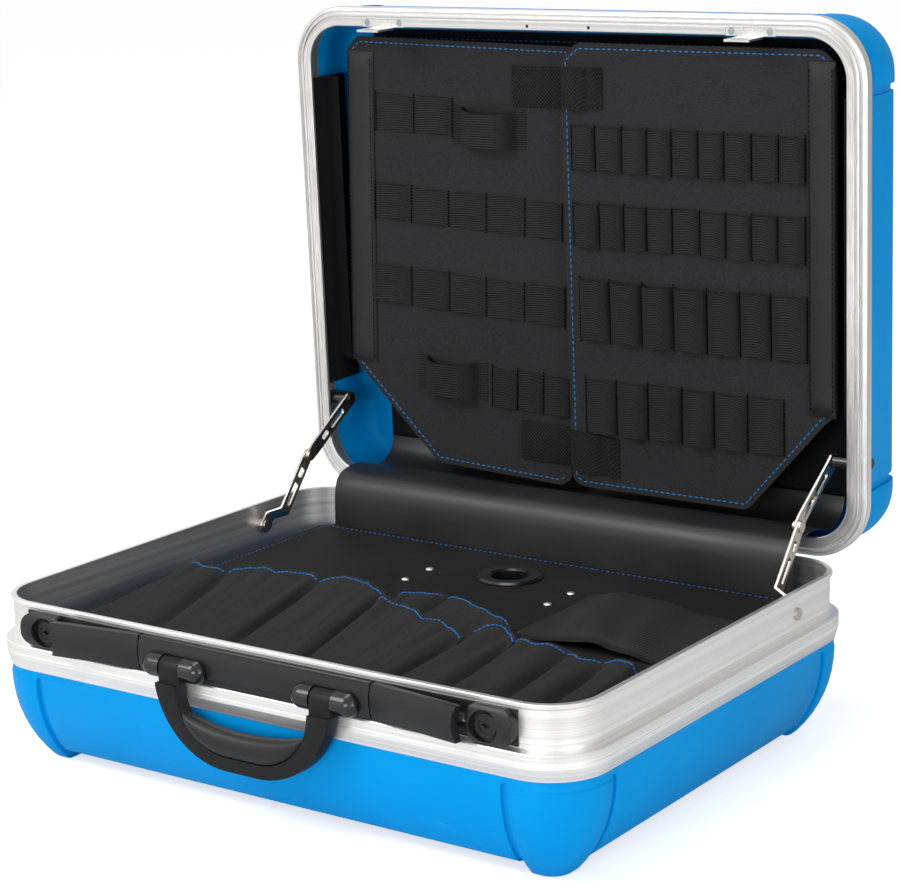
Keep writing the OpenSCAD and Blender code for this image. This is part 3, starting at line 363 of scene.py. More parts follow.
elastic_black = cloth("elastic_black", (0.0160, 0.0160, 0.0166), 620.0, 1.6, 0.8, 0.0004,
                      relief=0.6)
webbing = cloth("webbing", (0.0085, 0.0085, 0.0087), 340.0, 0.12, 0.85, 0.0005, lighter=2.8,
                relief=0.7)
flap_cloth = cloth("flap_cloth", (0.0115, 0.0115, 0.0122), 850.0, 0.1, 0.5, specular=0.25)
lining_felt = cloth("lining_felt", (0.009, 0.009, 0.010), 600.0, 0.0, 0.95, 0.0005)

# %% [markdown]
# Leathercloth has a fine pebble bump, a soft sheen and no weave. Plated steel gets a
# faint noise in its roughness, so that it doesn't look like a mirror.

# %% Leathercloth, thread and steel
def pebbled(name, colour, roughness, size, depth, specular):
    made, graph, shader, place = start_material(name, roughness, Specular_IOR_Level=specular)
    cells = graph.node("ShaderNodeTexVoronoi", {"Vector": place, "Scale": size})
    cloud = graph.noise(place, 12.0, 4.0)
    share = graph.span(cloud, 0.35, 0.65)
    graph.join(graph.mix(share, tone(colour), tone(colour, 1.35)), shader, "Base Color")
    gloss = graph.span(cloud, 0.3, 0.7, roughness - 0.06, roughness + 0.08)
    graph.join(gloss, shader, "Roughness")
    add_bump(graph, shader, cells.outputs["Distance"], 0.4, depth)
    return made


def plated(name, colour, roughness):
    made, graph, shader, place = start_material(name, roughness, 1.0)
    cloud = graph.noise(place, 160.0, 5.0, 0.65)
    share = graph.span(cloud, 0.3, 0.7)
    graph.join(graph.mix(share, tone(colour), tone(colour, 0.82)), shader, "Base Color")
    gloss = graph.span(cloud, 0.3, 0.7, roughness - 0.06, roughness + 0.1)
    graph.join(gloss, shader, "Roughness")
    add_bump(graph, shader, cloud, 0.15, 0.0001)
    return made


def thread_material(name, colour, specular):
    made, graph, shader, place = start_material(name, 0.6, Specular_IOR_Level=specular)
    twist = graph.noise(place, 1400.0, 2.0)
    graph.join(graph.mix(twist, tone(colour), tone(colour, 0.45)), shader, "Base Color")
    add_bump(graph, shader, twist, 0.5, 0.0002)
    return made


leathercloth = pebbled("leathercloth", (0.0125, 0.0125, 0.0130), 0.42, 1300.0, 0.00012, 0.42)
board_face = pebbled("board_face", (0.0115, 0.0110, 0.0112), 0.75, 1600.0, 0.0001, 0.12)
bright_steel = plated("bright_steel", (0.72, 0.71, 0.69), 0.3)
warm_nickel = plated("warm_nickel", (0.60, 0.55, 0.49), 0.27)
blue_thread = thread_material("blue_thread", (0.012, 0.22, 0.62), 0.3)
black_thread = thread_material("black_thread", (0.002, 0.002, 0.002), 0.03)
rivet_steel = plated("rivet_steel", (0.92, 0.87, 0.78), 0.4)
blued_zinc = plated("blued_zinc", (0.36, 0.40, 0.44), 0.34)


def knitted(name, dark, light):
    """Black mesh with painted light: its ribs, marked in the piece's own attribute so they
    follow its folds, are painted lighter as highlight, the lines between them darker as shade.
    """
    made, graph, shader, place = start_material(name, 0.7, Specular_IOR_Level=0.25)
    rib = graph.node("ShaderNodeAttribute", attribute_name="rib").outputs["Fac"]
    holes = graph.noise(place, 1500.0, 2.0)
    open_work = graph.span(holes, 0.2, 0.6, 0.5, 1.0)
    # Painted light: lifted ribs are painted lighter as highlight, the lines between them darker
    # as shade.
    shade = graph.math("MULTIPLY", graph.span(rib, 0.15, 0.95), open_work)
    graph.join(graph.mix(shade, tone(dark), tone(light)), shader, "Base Color")
    add_bump(graph, shader, holes, 0.5, 0.0003)
    return made


mesh_black = knitted("mesh_black", (0.002, 0.002, 0.002), (0.040, 0.040, 0.042))
print("materials:", len(bpy.data.materials))

# %% [markdown]
# Every CAD node now gets its finish. A CAD mesh is never changed, so only its material
# slot is filled.

# %% Finish the CAD nodes
node_finish = {
    blue_shell: ["base_shell", "lid_shell"],
    base_aluminium: ["base_frame"],
    shaded_lid_aluminium: ["lid_frame"],
    bright_steel: ["hinge_base_leaf", "hinge_lid_leaf", "hinge_pin", "hinge_lid_rivets",
                   "latch_plate_screws", "latch_springs", "lever_pins", "latch_nose_left",
                   "latch_nose_right", "handle_pins", "lock_cam_left", "lock_cam_right",
                   "keeper_left", "keeper_right"],
    blued_zinc: ["keeper_screws"],
    rivet_steel: ["pallet_rivets"],
    warm_nickel: ["stay_base_studs", "stay_lower_left", "stay_lower_right", "stay_upper_left",
                  "stay_upper_right", "stay_washer_left", "stay_washer_right",
                  "stay_rivet_left", "stay_rivet_right"],
    black_satin: ["latch_plate", "lock_housing_left", "lock_housing_right", "lock_sleeve_left",
                  "lock_sleeve_right", "lock_plug_left", "lock_plug_right", "latch_lever_left",
                  "latch_lever_right", "handle_strap", "stay_lid_rivets", "pallet_blocks"],
    black_gloss: ["handle_lugs", "stay_lid_posts", "pallet_grommet"],
    soft_grip_black: ["handle_grip"],
    pocket_cloth: ["pallet_pockets"], mesh_black: ["mesh_pocket"],
    panel_cloth: ["tool_panel_left", "tool_panel_right"], board_face: ["pallet_board"],
    elastic_black: ["panel_loops_left", "panel_loops_right"],
    flap_cloth: ["panel_flap_left", "panel_flap_right"],
    lining_felt: ["lid_lining_left", "lid_lining_right", "lid_lining_top", "lid_back_pad"],
    leathercloth: ["hinge_cover"],
}
for material, names in node_finish.items():
    for name in names:
        slots = frame["nodes"][name].data.materials
        slots.clear()
        slots.append(material)
print("nodes with a finish:", sum(map(len, node_finish.values())))

# %% [markdown]
# New pieces share one ending: they are put in place, their normals are made to point out, edges
# sharper than a given angle stay crisp, the piece is attached to the body that carries it, and
# the CAD solids it stands for are hidden.

# %% Finish a new piece
def settle(bm, name, material, body, place=in_base, stands_for=(), crisp=40):
    bm.transform(place)
    bmesh.ops.recalc_face_normals(bm, faces=bm.faces[:])
    mesh = bpy.data.meshes.new(name)
    bm.to_mesh(mesh)
    bm.free()
    mesh.shade_smooth()
    mesh.set_sharp_from_angle(angle=math.radians(crisp))
    mesh.materials.append(material)
    obj = add_object(name, mesh)
    if stands_for:
        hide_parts(*stands_for)
    if body:
        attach(obj, body)
    print(f"{name}: {len(mesh.polygons)} faces")
    return obj


# %% [markdown]
# CAD edges are knife sharp, and a real moulding's are not. A softened copy of a rigid
# node has its doubles merged, its flat triangles dissolved into whole faces, and its
# sharp edges bevelled, so that they catch the light.

# %% Soften a CAD node
def round_off(bm, geom, width, segments, affect="EDGES"):
    bmesh.ops.bevel(bm, geom=geom, offset=width, offset_type="OFFSET", affect=affect,
                    segments=segments, profile=0.5, clamp_overlap=True, material=-1)


def softened(node, name, material, body, width, segments=3, angle=32):
    bm = bmesh.new()
    bm.from_mesh(frame["nodes"][node].data)
    bmesh.ops.remove_doubles(bm, verts=bm.verts[:], dist=1e-6)
    bmesh.ops.dissolve_limit(bm, angle_limit=math.radians(0.6), verts=bm.verts[:],
                             edges=bm.edges[:])
    bm.normal_update()
    limit = math.radians(angle)
    edges = [e for e in bm.edges if len(e.link_faces) == 2 and e.calc_face_angle(0) > limit]
    round_off(bm, edges, width * MM, segments)
    return settle(bm, name, material, body, Matrix.Identity(4), (node,), 35)


softened("handle_strap", "handle_strap_moulding", black_matt, "handle", 2.6, 4)
for side in ("left", "right"):
    softened(f"latch_lever_{side}", f"lever_moulding_{side}", black_satin, f"latch_{side}",
             0.6)
    softened(f"lock_housing_{side}", f"lock_moulding_{side}", black_satin, "base",
             0.8)
    for part in ("lower", "upper"):
        link = f"stay_{part}_{side}"
        softened(link, f"stay_{part}_link_{side}", warm_nickel, link, 0.35, 2)
softened("base_shell", "base_tub", blue_shell, "base", 1.0, 2, 38)
softened("lid_shell", "lid_tub", blue_shell, "lid", 1.0, 2, 38)
softened("latch_plate", "latch_bar_moulding", black_satin, "base", 0.5)
softened("pallet_board", "pallet_face", board_face, "pallet", 0.9, 3)

# %% [markdown]
# **Grip.** The soft grip fills the lower part of the handle's opening and bulges out of it.
# It is a tube: a grid is wrapped round, and its height at each place along the handle is
# the room between the strap's inner edge and a shallow arc that fits four fingers.

# %% Handle grip
GRIP_HALF, GRIP_Y, GRIP_FAT = 49.0, -194.5, 7.3      # half length, place in y, half thickness
LOOP_HALF, LOOP_R, LOOP_Z = 12.5, 40.0, 88.0         # the strap's inner edge is a stadium
ARC_TOP, ARC_FLATNESS = 65.0, 374                    # the arc under the fingers


def rounded(value, power):
    return math.copysign(abs(value) ** power, value)


grip = bmesh.new()
bmesh.ops.create_grid(grip, x_segments=72, y_segments=36, size=0.5)
for vert in grip.verts:
    x = GRIP_HALF * math.sin(math.pi * vert.co.x)
    turn = 2 * math.pi * (vert.co.y + 0.5)
    low = LOOP_Z - math.sqrt(LOOP_R ** 2 - max(0.0, abs(x) - LOOP_HALF) ** 2)
    top = ARC_TOP + x * x / ARC_FLATNESS
    tall = max((top - low) / 2, 0.25)
    fat = GRIP_FAT * min(1.0, (tall / 8.5) ** 0.45)
    vert.co = (x, GRIP_Y - fat * rounded(math.cos(turn), 0.85),
               (top + low) / 2 + tall * rounded(math.sin(turn), 0.9))
bmesh.ops.remove_doubles(grip, verts=grip.verts[:], dist=0.01)
bmesh.ops.holes_fill(grip, edges=grip.edges[:], sides=0)
settle(grip, "handle_grip_moulding", soft_grip_black, "handle", in_base,
       ("handle_grip",), 50)

# %% [markdown]
# **Boards.** Both tool panels are stiff boards wrapped in cloth. A board starts as one flat
# face from its outline; its corners are rounded by a vertex bevel, it is extruded to its
# thickness, and its rims are softened, because cloth can't fold round a sharp edge.

# %% Board maker
def new_verts(made):
    """The vertices that an extrusion has made."""
    return [e for e in made["geom"] if isinstance(e, bmesh.types.BMVert)]


def board(outline, corner, low, high, rim=1.0):
    bm = bmesh.new()
    ring = [bm.verts.new((x, y, low)) for x, y in outline]
    bm.faces.new(ring)
    round_off(bm, ring, corner, 6, "VERTICES")
    raised = bmesh.ops.extrude_face_region(bm, geom=bm.faces[:])
    bmesh.ops.translate(bm, vec=(0, 0, high - low), verts=new_verts(raised))
    bm.normal_update()
    rims = [e for e in bm.edges if len(e.link_faces) == 2 and e.calc_face_angle(0) > 1.2]
    round_off(bm, rims, rim, 3)
    return bm


def slab(low, high, rim=0.5, segments=2):
    bm = bmesh.new()
    size = Vector(high) - Vector(low)
    middle = (Vector(high) + Vector(low)) / 2
    shape = Matrix.Translation(middle) @ Matrix.Diagonal((*size, 1))
    bmesh.ops.create_cube(bm, size=1, matrix=shape)
    round_off(bm, bm.edges[:], rim, segments)
    return bm


def add_mesh(target, source):
    holder = bpy.data.meshes.new("holder")
    source.to_mesh(holder)
    source.free()
    target.from_mesh(holder)
    bpy.data.meshes.remove(holder)


# %% [markdown]
# **Stitching.** The case is sewn with bright blue thread. Each stitch is a small stretched
# ball laid along its seam, a few tenths proud of the cloth. A seam is a list of corner
# points, and the stitches are spaced along it a little unevenly.

# %% Stitch maker
def sew(bm, path, pitch, length, thick, seed):
    chance = random.Random(seed)
    for start, end in zip(path, path[1:]):
        start, end = Vector(start), Vector(end)
        run = end - start
        count = max(1, round(run.length / pitch))
        turn = run.normalized().to_track_quat("X", "Z").to_matrix().to_4x4()
        for k in range(count):
            middle = start + run * (k + 0.5 + chance.uniform(-0.05, 0.05)) / count
            shape = Matrix.Diagonal((length / 2, thick / 2, thick / 2 * 0.8, 1))
            bmesh.ops.create_icosphere(bm, subdivisions=1, radius=1,
                                       matrix=Matrix.Translation(middle) @ turn @ shape)


def inset_path(points, gap, height):
    """A seam that runs gap inside the outline, at one height."""
    count, out = len(points), []
    for k in range(count):
        before, here, after = (Vector(points[(k + d) % count]) for d in (-1, 0, 1))
        a, b = (here - before).normalized(), (after - here).normalized()
        left_a, left_b = Vector((-a.y, a.x)), Vector((-b.y, b.x))
        corner = (left_a + left_b) / (1 + left_a.dot(left_b))
        out.append((*(here + gap * corner), height))
    return out


# %% [markdown]
# The two tool panels meet at a seam near the middle. Each has a cut lower outer corner.
# The left one lies deeper in the lid, so that the right one's edge shows over it, and it
# sags by two degrees on its cloth fold, which tilts all that is sewn to it.

# %% Tool panels
BOARD_THICK = 2.4    # thin enough to clear the stays' washers when a panel folds out
panel_shape = {
    "left": [(-5.2, 30), (-13.6, 24), (-126, 24), (-201.4, 92), (-206.4, 100), (-206.4, 337),
             (-197.4, 346), (-8, 350), (-5.2, 347)],
    "right": [(-4.4, 30), (-4.4, 339), (8.6, 350), (201.4, 350), (210.4, 341), (210.4, 100),
              (202.4, 95), (141, 25), (3.6, 25)],
}
sag_centre = Matrix.Translation((-110, 190, 0))
sag = Matrix.Rotation(math.radians(-2.3), 4, "Z")
in_left = in_lid @ sag_centre @ sag @ sag_centre.inverted()
for side, front, place in (("left", LEFT_FRONT, in_left), ("right", RIGHT_FRONT, in_lid)):
    outline = panel_shape[side]
    if sum(a[0] * b[1] - b[0] * a[1] for a, b in zip(outline, outline[1:] + outline[:1])) < 0:
        outline = outline[::-1]
    settle(board(outline, 5.0, front - BOARD_THICK, front), f"tool_board_{side}", panel_cloth,
           f"panel_{side}", place, (f"tool_panel_{side}",))
    seam = bmesh.new()
    path = inset_path(outline, 4.0, front + 0.2)
    sew(seam, path if side == "left" else path + path[:1], 4.7, 3.6, 1.15, 3)
    settle(seam, f"board_stitches_{side}", blue_thread, f"panel_{side}", place)

# %% [markdown]
# **Elastic loops.** A strip of elastic is tacked to the board every few centimetres and
# stands up between the tacks. Its height over the board is a rounded hump for each loop, a
# little different each time. The strip is a grid pushed up by that rule and thickened.

# %% Loop strip maker
STRIP_THICK, SPREAD = 1.1, 0.25      # mm, and how uneven the loops are
CLOTH_GAP = 0.35                     # between the board and the cloth's lower face


def loop_strip(bm, tack_mesh, x0, x1, v0, v1, front, tacks, height, seed, lean_out):
    chance = random.Random(seed)
    per, across = 12, 5
    humps = [height * chance.uniform(1 - SPREAD, 1 + SPREAD) for _ in range(len(tacks) - 1)]
    skews = [chance.uniform(0.8, 1.25) for _ in humps]
    tilts = [chance.uniform(-1, 1) for _ in humps]
    strip = bmesh.new()
    columns = per * len(humps)
    bmesh.ops.create_grid(strip, x_segments=columns, y_segments=across, size=0.5)
    for vert in strip.verts:
        a, b = vert.co.x + 0.5, vert.co.y + 0.5
        at = min(a * columns / per, len(humps) - 1e-6)
        k = int(at)
        u = at - k
        rise = max(0.0, math.sin(math.pi * u ** skews[k])) ** 0.5
        lift = humps[k] * rise * (1 + lean_out * (b - 0.5) + 0.18 * tilts[k] * (b - 0.5))
        x = x0 + (x1 - x0) * (tacks[k] + (tacks[k + 1] - tacks[k]) * u)
        vert.co = (x, v0 + (v1 - v0) * b + 0.8 * tilts[k] * rise, front + CLOTH_GAP + lift)
    strip.normal_update()
    bmesh.ops.solidify(strip, geom=strip.faces[:], thickness=STRIP_THICK)
    add_mesh(bm, strip)
    for tack in tacks:
        x, over = x0 + (x1 - x0) * tack, chance.uniform(1.2, 2.6)
        ends = [(x, v0 - over, front + 1.3), (x, v1 + over, front + 1.3)]
        sew(tack_mesh, ends, 2.3, 2.3, 1.15, seed)


def even(count, jitter=0.0, seed=0):
    """The tacks of a strip, as shares of its length."""
    chance = random.Random(seed)
    inner = [k / count + chance.uniform(-jitter, jitter) for k in range(1, count)]
    return [0.0, *inner, 1.0]


# %% [markdown]
# The right panel has four rows of up to nine loops that stand well up. The left panel's
# rows lie nearly flat.

# %% Loops on the panels
# Each row: x from and to, v from and to, tacks, height, seed, lean.
rows = {
    "right": (RIGHT_FRONT, in_lid, [
        (3.5, 188, 261, 291, even(9, 0.006, 1), 5.0, 11, 0.0),
        (3.5, 188, 206, 236, even(9, 0.006, 2), 5.2, 12, 0.0),
        (7, 189, 137, 181, even(7, 0.01, 3), 7.2, 13, 0.3),
        (10, 171, 69, 108, even(6, 0.012, 4), 6.0, 14, -0.2)]),
    "left": (LEFT_FRONT, in_left, [
        (-180, -110, 278, 305, even(2), 1.8, 21, 0.0),
        (-182, -14, 210, 236, even(5, 0.01, 5), 2.2, 22, 0.0),
        (-184, -11, 146, 174, even(5, 0.01, 6), 2.4, 23, 0.0),
        (-75, -6, 78, 107, even(3, 0.01, 7), 3.0, 24, 0.0)]),
}
for side, (front, place, strips) in rows.items():
    bm, tack_mesh = bmesh.new(), bmesh.new()
    for x0, x1, v0, v1, tacks, height, seed, lean_out in strips:
        loop_strip(bm, tack_mesh, x0, x1, v0, v1, front, tacks, height, seed, lean_out)
    body = f"panel_{side}"
    settle(bm, f"loops_{side}", elastic_black, body, place,
           (f"panel_loops_{side}",), 50)
    settle(tack_mesh, f"loop_tacks_{side}", black_thread, body, place)

# %% [markdown]
# The wide loops are bands of stiffer elastic. Each leaves the board at a flat sewn foot,
# climbs steeply, runs across and comes down again, and sags a little in the middle.

# %% Wide loops
FOOT = 0.14          # the share of a band that is sewn flat at each end


def wide_band(bm, x0, x1, v0, v1, front, height, droop):
    band = bmesh.new()
    bmesh.ops.create_grid(band, x_segments=48, y_segments=6, size=0.5)
    for vert in band.verts:
        a, b = vert.co.x + 0.5, vert.co.y + 0.5
        lift = 0.0
        if FOOT <= a <= 1 - FOOT:
            u = (a - FOOT) / (1 - 2 * FOOT)
            lift = min(1.0, 1.16 * math.sin(math.pi * u) ** 0.42) * height
        sway = droop * math.sin(math.pi * a) * (b - 0.2)
        vert.co = (x0 + (x1 - x0) * a, v0 + (v1 - v0) * b - sway,
                   front + CLOTH_GAP + lift * (0.9 + 0.16 * b))
    bmesh.ops.smooth_vert(band, verts=band.verts[:], factor=0.4, use_axis_z=True)
    band.normal_update()
    bmesh.ops.solidify(band, geom=band.faces[:], thickness=1.3)
    add_mesh(bm, band)


bm = bmesh.new()
wide_band(bm, -110, -46, 272, 302, LEFT_FRONT, 12.5, 5.0)
wide_band(bm, -143, -80, 79, 110, LEFT_FRONT, 12.5, 6.0)
settle(bm, "wide_loops", elastic_black, "panel_left", in_left, (), 50)

# %% [markdown]
# Two hook-and-loop straps close the panels over the seam. Each is shared: a flat tab is
# sewn to the left board and a thicker, curled one to the right board.

# %% Strap tabs
SEAM_LEFT, SEAM_RIGHT = -5.8, -4.6   # where the two halves of a strap end
FLAT_SHARE = 0.62                    # the hump of a right tab, before its curled end
for name, v0, v1, x0, x1 in (("upper", 303, 332, -52, 30), ("lower", 38, 68, -54, 37)):
    left_tab = slab((x0, v0 - 1, LEFT_FRONT + 0.2), (SEAM_LEFT, v1 - 1, LEFT_FRONT + 2.2), 0.7)
    settle(left_tab, f"strap_{name}_left", webbing, "panel_left", in_lid, (), 50)
    bm = bmesh.new()
    bmesh.ops.create_grid(bm, x_segments=36, y_segments=8, size=0.5)
    for vert in bm.verts:
        a, b = vert.co.x + 0.5, vert.co.y + 0.5
        hump = math.sin(math.pi * min(a / FLAT_SHARE, 1)) ** 0.8
        tail = math.sin(math.pi * max(0.0, (a - FLAT_SHARE) / 0.38)) * (0.3 + 0.9 * b)
        tilt = -3.0 * a if name == "lower" else 0.8 * a
        vert.co = (SEAM_RIGHT + (x1 - SEAM_RIGHT) * a, v0 + tilt + (v1 - v0) * b,
                   RIGHT_FRONT + 1.0 + 3.6 * hump + 4.0 * tail)
    bm.normal_update()
    bmesh.ops.solidify(bm, geom=bm.faces[:], thickness=1.7)
    settle(bm, f"strap_{name}_right", webbing, "panel_right", in_lid, (), 50)

# %% [markdown]
# A padded strip covers each board's fold. It is a small cushion with a crowned face that
# is drawn in along its sewn edges.

# %% Fold flaps
def crown_height(a, b, height, power):
    crown = (max(0.0, 4 * a * (1 - a)) ** power) * (min(1.0, 30 * b * (1 - b)) ** 0.6)
    return 0.4 + (height - 0.4) * crown


def cushion(x0, x1, y0, y1, low, height, nx, ny, seed, power=0.35):
    bm = bmesh.new()
    bmesh.ops.create_grid(bm, x_segments=nx, y_segments=ny, size=0.5)
    for vert in bm.verts:
        a, b = vert.co.x + 0.5, vert.co.y + 0.5
        ripple = 0.25 * noise.noise(Vector((a * 2, b * 14, seed)))
        lift = max(0.4, crown_height(a, b, height, power) + ripple)
        vert.co = (x0 + (x1 - x0) * a, y0 + (y1 - y0) * b, low + lift)
    for vert in new_verts(bmesh.ops.extrude_face_region(bm, geom=bm.faces[:])):
        vert.co.z = low
    return bm


FLAP_HEIGHT, FLAP_POWER = 3.8, 0.5
for side, edges, low_v, high_v, front, place in (
        ("left", (-206.5, -182.0), 95, 335, LEFT_FRONT, in_left),
        ("right", (190.0, 210.5), 99, 342, RIGHT_FRONT, in_lid)):
    pad = cushion(*edges, low_v, high_v, front + 0.15, FLAP_HEIGHT, 14, 60, edges[0], FLAP_POWER)
    flap = settle(pad, f"fold_flap_{side}", flap_cloth, f"panel_{side}", place,
                  (f"panel_flap_{side}",), 60)
    seam = bmesh.new()
    for share in (0.09, 0.91):
        x = edges[0] + (edges[1] - edges[0]) * share
        z = front + 0.2 + crown_height(share, 0.5, FLAP_HEIGHT, FLAP_POWER)
        sew(seam, [(x, low_v + 4, z), (x, high_v - 4, z)], 3.4, 2.7, 0.9, 9)
    settle(seam, f"flap_stitches_{side}", black_thread, f"panel_{side}", place)

# %% [markdown]
# Behind the panels the lid is lined: a felt strip on each side wall, with the cloth web
# that carries the board's fold, a felt strip at the top, and a cushion on the back.

# %% Linings
for side, sign, depth in (("left", -1, 22.6), ("right", 1, 12.6)):
    wall = slab((224.9, 80, -46), (227.5, 318, -3.2), 0.8, 3)
    web = slab((214.0, 98, -depth - 1.0), (225.2, 318, -depth), 0.4)
    add_mesh(wall, web)
    if sign < 0:
        bmesh.ops.scale(wall, vec=(-1, 1, 1), verts=wall.verts[:])
    settle(wall, f"side_lining_{side}", lining_felt, "lid", in_lid,
           (f"lid_lining_{side}",), 50)
top_strip = slab((-189, 361.5, -35.5), (189, 364.1, -4.8), 0.8, 3)
settle(top_strip, "top_lining", lining_felt, "lid", in_lid,
       ("lid_lining_top",), 50)
back = cushion(-204, 204, 26, 351, -58.4, 8.0, 40, 32, 5)
back_pad = settle(back, "padded_back", lining_felt, "lid", in_lid,
                  ("lid_back_pad",), 60)
seam = bmesh.new()
sew(seam, [(-196, 345, -52.4), (196, 345, -52.4)], 4.7, 3.4, 1.0, 15)
settle(seam, "back_stitches", blue_thread, "lid", in_lid)

# %% [markdown]
# **Pallet.** The lift-out pallet is a board faced with a smooth leathercloth and stitched
# round its edge. Its front half carries banks of cloth pockets that open to the rear.

# %% Pallet stitches
pallet_outline = [(-205.5, -165), (205.5, -165), (205.5, 158), (-205.5, 158)]
bm = bmesh.new()
path = inset_path(pallet_outline, 5.0, BOARD_TOP + 0.15)
sew(bm, path + path[:1], 4.4, 3.0, 0.75, 5)
settle(bm, "pallet_stitches", blue_thread, "pallet")

# %% [markdown]
# **Domes.** Screw and rivet heads are low domes: balls pressed flat along their axis. Four
# rivet heads lie on the pallet, and four screw heads hold the keepers. The screw heads are
# sunk, so that they clear the base's rim when the lid shuts.

# %% Rivet and screw heads
def dome(bm, centre, radius, height):
    shape = Matrix.Translation(centre) @ Matrix.Diagonal((radius, radius, height, 1))
    bmesh.ops.create_uvsphere(bm, u_segments=24, v_segments=12, radius=1, matrix=shape)


RIVET_R = 3.0
low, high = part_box("pallet_rivets")
bm = bmesh.new()
for x in (-60, 60):
    for y in (low.y / MM + RIVET_R, high.y / MM - RIVET_R):
        dome(bm, (x, y, BOARD_TOP + 0.5), RIVET_R, 1.3)
settle(bm, "rivet_heads", rivet_steel, "pallet", in_base, ("pallet_rivets",), 60)
bm = bmesh.new()
low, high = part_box("keeper_screws")
screw_v = ((low.z + high.z) / 2 - hinge.z) / math.sin(lean) / MM
for x in (-166.5, -137.5, 137.5, 166.5):
    dome(bm, (x, screw_v, -0.72), 2.9, 0.75)
settle(bm, "keeper_screw_heads", blued_zinc, "lid", in_lid)

# %% [markdown]
# **Pockets.** Each pocket is a sheet of cloth sewn down at its sides and front. It rises
# towards its open rear mouth and bulges between its side seams, steeper on the right. The
# mouth is hemmed with blue thread. A pocket is written as the corners of its mouth.

# %% Pocket maker
def along(points, share):
    """The point a share of the way along x of a line of points."""
    x = points[0][0] + (points[-1][0] - points[0][0]) * share
    for (xa, ya), (xb, yb) in zip(points, points[1:]):
        if x <= xb or (xb, yb) == points[-1]:
            return x, ya + (yb - ya) * min(max((x - xa) / (xb - xa), 0), 1)


SEAM_REACH = 4.5     # mm from a side seam within which the cloth is drawn down
MOUTH = 0.945        # where the hem starts, as a share of the pocket's length


def pocket_height(u, t, width, high, seed, ends):
    ramp = 0.8 + high * t ** 0.8
    dip = 0.0
    for dist, end in ((u * width, ends[0]), ((1 - u) * width, ends[1])):
        depth = 1.0 if end else 0.93 - 0.75 * t ** 4
        dip = max(dip, depth * math.exp(-(dist / SEAM_REACH) ** 2))
    fold = noise.noise(Vector((u * width / 16, t * 1.2, seed)))
    pucker = noise.noise(Vector((u * width / 6, t * 2.6, seed + 7.0)))
    wrinkle = 2.8 * fold * t + 0.9 * pucker * (0.25 + t)
    hem = 0.55 if t > MOUTH else 0.0
    return max(0.35, (ramp + wrinkle) * (1 - dip)) + hem


def pocket(cloth_mesh, seam_mesh, mouth, foot, foot_y, high, seed, ends):
    width = abs(mouth[-1][0] - mouth[0][0])

    def surface(u, t):
        x, y = along(mouth, u)
        x = foot[0] + (foot[1] - foot[0]) * u + (x - foot[0] - (foot[1] - foot[0]) * u) * t
        drift = 1.8 * noise.noise(Vector((u * width / 14, seed, 0))) * t
        lift = pocket_height(u, t, width, high, seed, ends)
        return Vector((x, foot_y + (y - foot_y) * t + drift, BOARD_TOP + 0.1 + lift))

    sheet = bmesh.new()
    columns = max(20, round(width / 1.6))
    bmesh.ops.create_grid(sheet, x_segments=columns, y_segments=40, size=0.5)
    for vert in sheet.verts:
        vert.co = surface(vert.co.x + 0.5, vert.co.y + 0.5)
    sheet.normal_update()
    bmesh.ops.solidify(sheet, geom=sheet.faces[:], thickness=0.9)
    add_mesh(cloth_mesh, sheet)
    line = [surface(0.01 + 0.98 * k / 80, 0.968) + Vector((0, 0, 0.35)) for k in range(81)]
    points = [line[0]]
    for point in line[1:]:
        if (point - points[-1]).length >= 2.7:
            points.append(point)
    sew(seam_mesh, points, 2.9, 3.2, 1.35, seed)


# %% [markdown]
# The mouths are uneven on purpose: used pockets hang open by different amounts.

# %% Pocket banks
FRONT_Y, FLAP_Y = -160.5, -70.0      # where the front row and the two rear pockets are sewn
mouths = [
    [(-203, -9), (-195, -7), (-175, -14), (-162, -9)],
    [(-162, -10), (-150, -4), (-140, 3), (-126, -1), (-106, 11), (-91, 5)],
    [(-91, 5), (-84, 8), (-72, 13), (-57, 10), (-29, -3)],
    [(-29, -10), (-18, -17), (-1, -20), (28, -38), (50, -43), (70, -54)],
    [(70, -40), (77, -34), (87, -28), (104, -43)],
    [(104, -43), (127, -48), (144, -43)],
    [(144, -43), (160, -56), (175, -50)],
    [(175, -50), (188, -48), (203, -52)],
]
feet = [-203, -122, -60, 2, 64, 106, 148, 178, 203]      # the seams at the front edge
heights = [10.5, 11.5, 12.0, 12.0, 12.5, 12.0, 11.5, 11.0]
cloth_mesh, seam_mesh = bmesh.new(), bmesh.new()
pocket(cloth_mesh, seam_mesh, [(-33, 12), (-7, 17), (3, 26)], (-40, 4), FLAP_Y, 7.5, 31,
       (True, False))
pocket(cloth_mesh, seam_mesh, [(3, 26), (25, 19), (40, 9), (76, -5)], (4, 74), FLAP_Y, 7.5, 32,
       (False, True))
for k, mouth in enumerate(mouths):
    pocket(cloth_mesh, seam_mesh, mouth, (feet[k], feet[k + 1]), FRONT_Y, heights[k], 41 + k,
           (k == 0, k == len(mouths) - 1))
settle(cloth_mesh, "pocket_banks", pocket_cloth, "pallet", in_base,
       ("pallet_pockets",), 60)
settle(seam_mesh, "pocket_hems", blue_thread, "pallet")
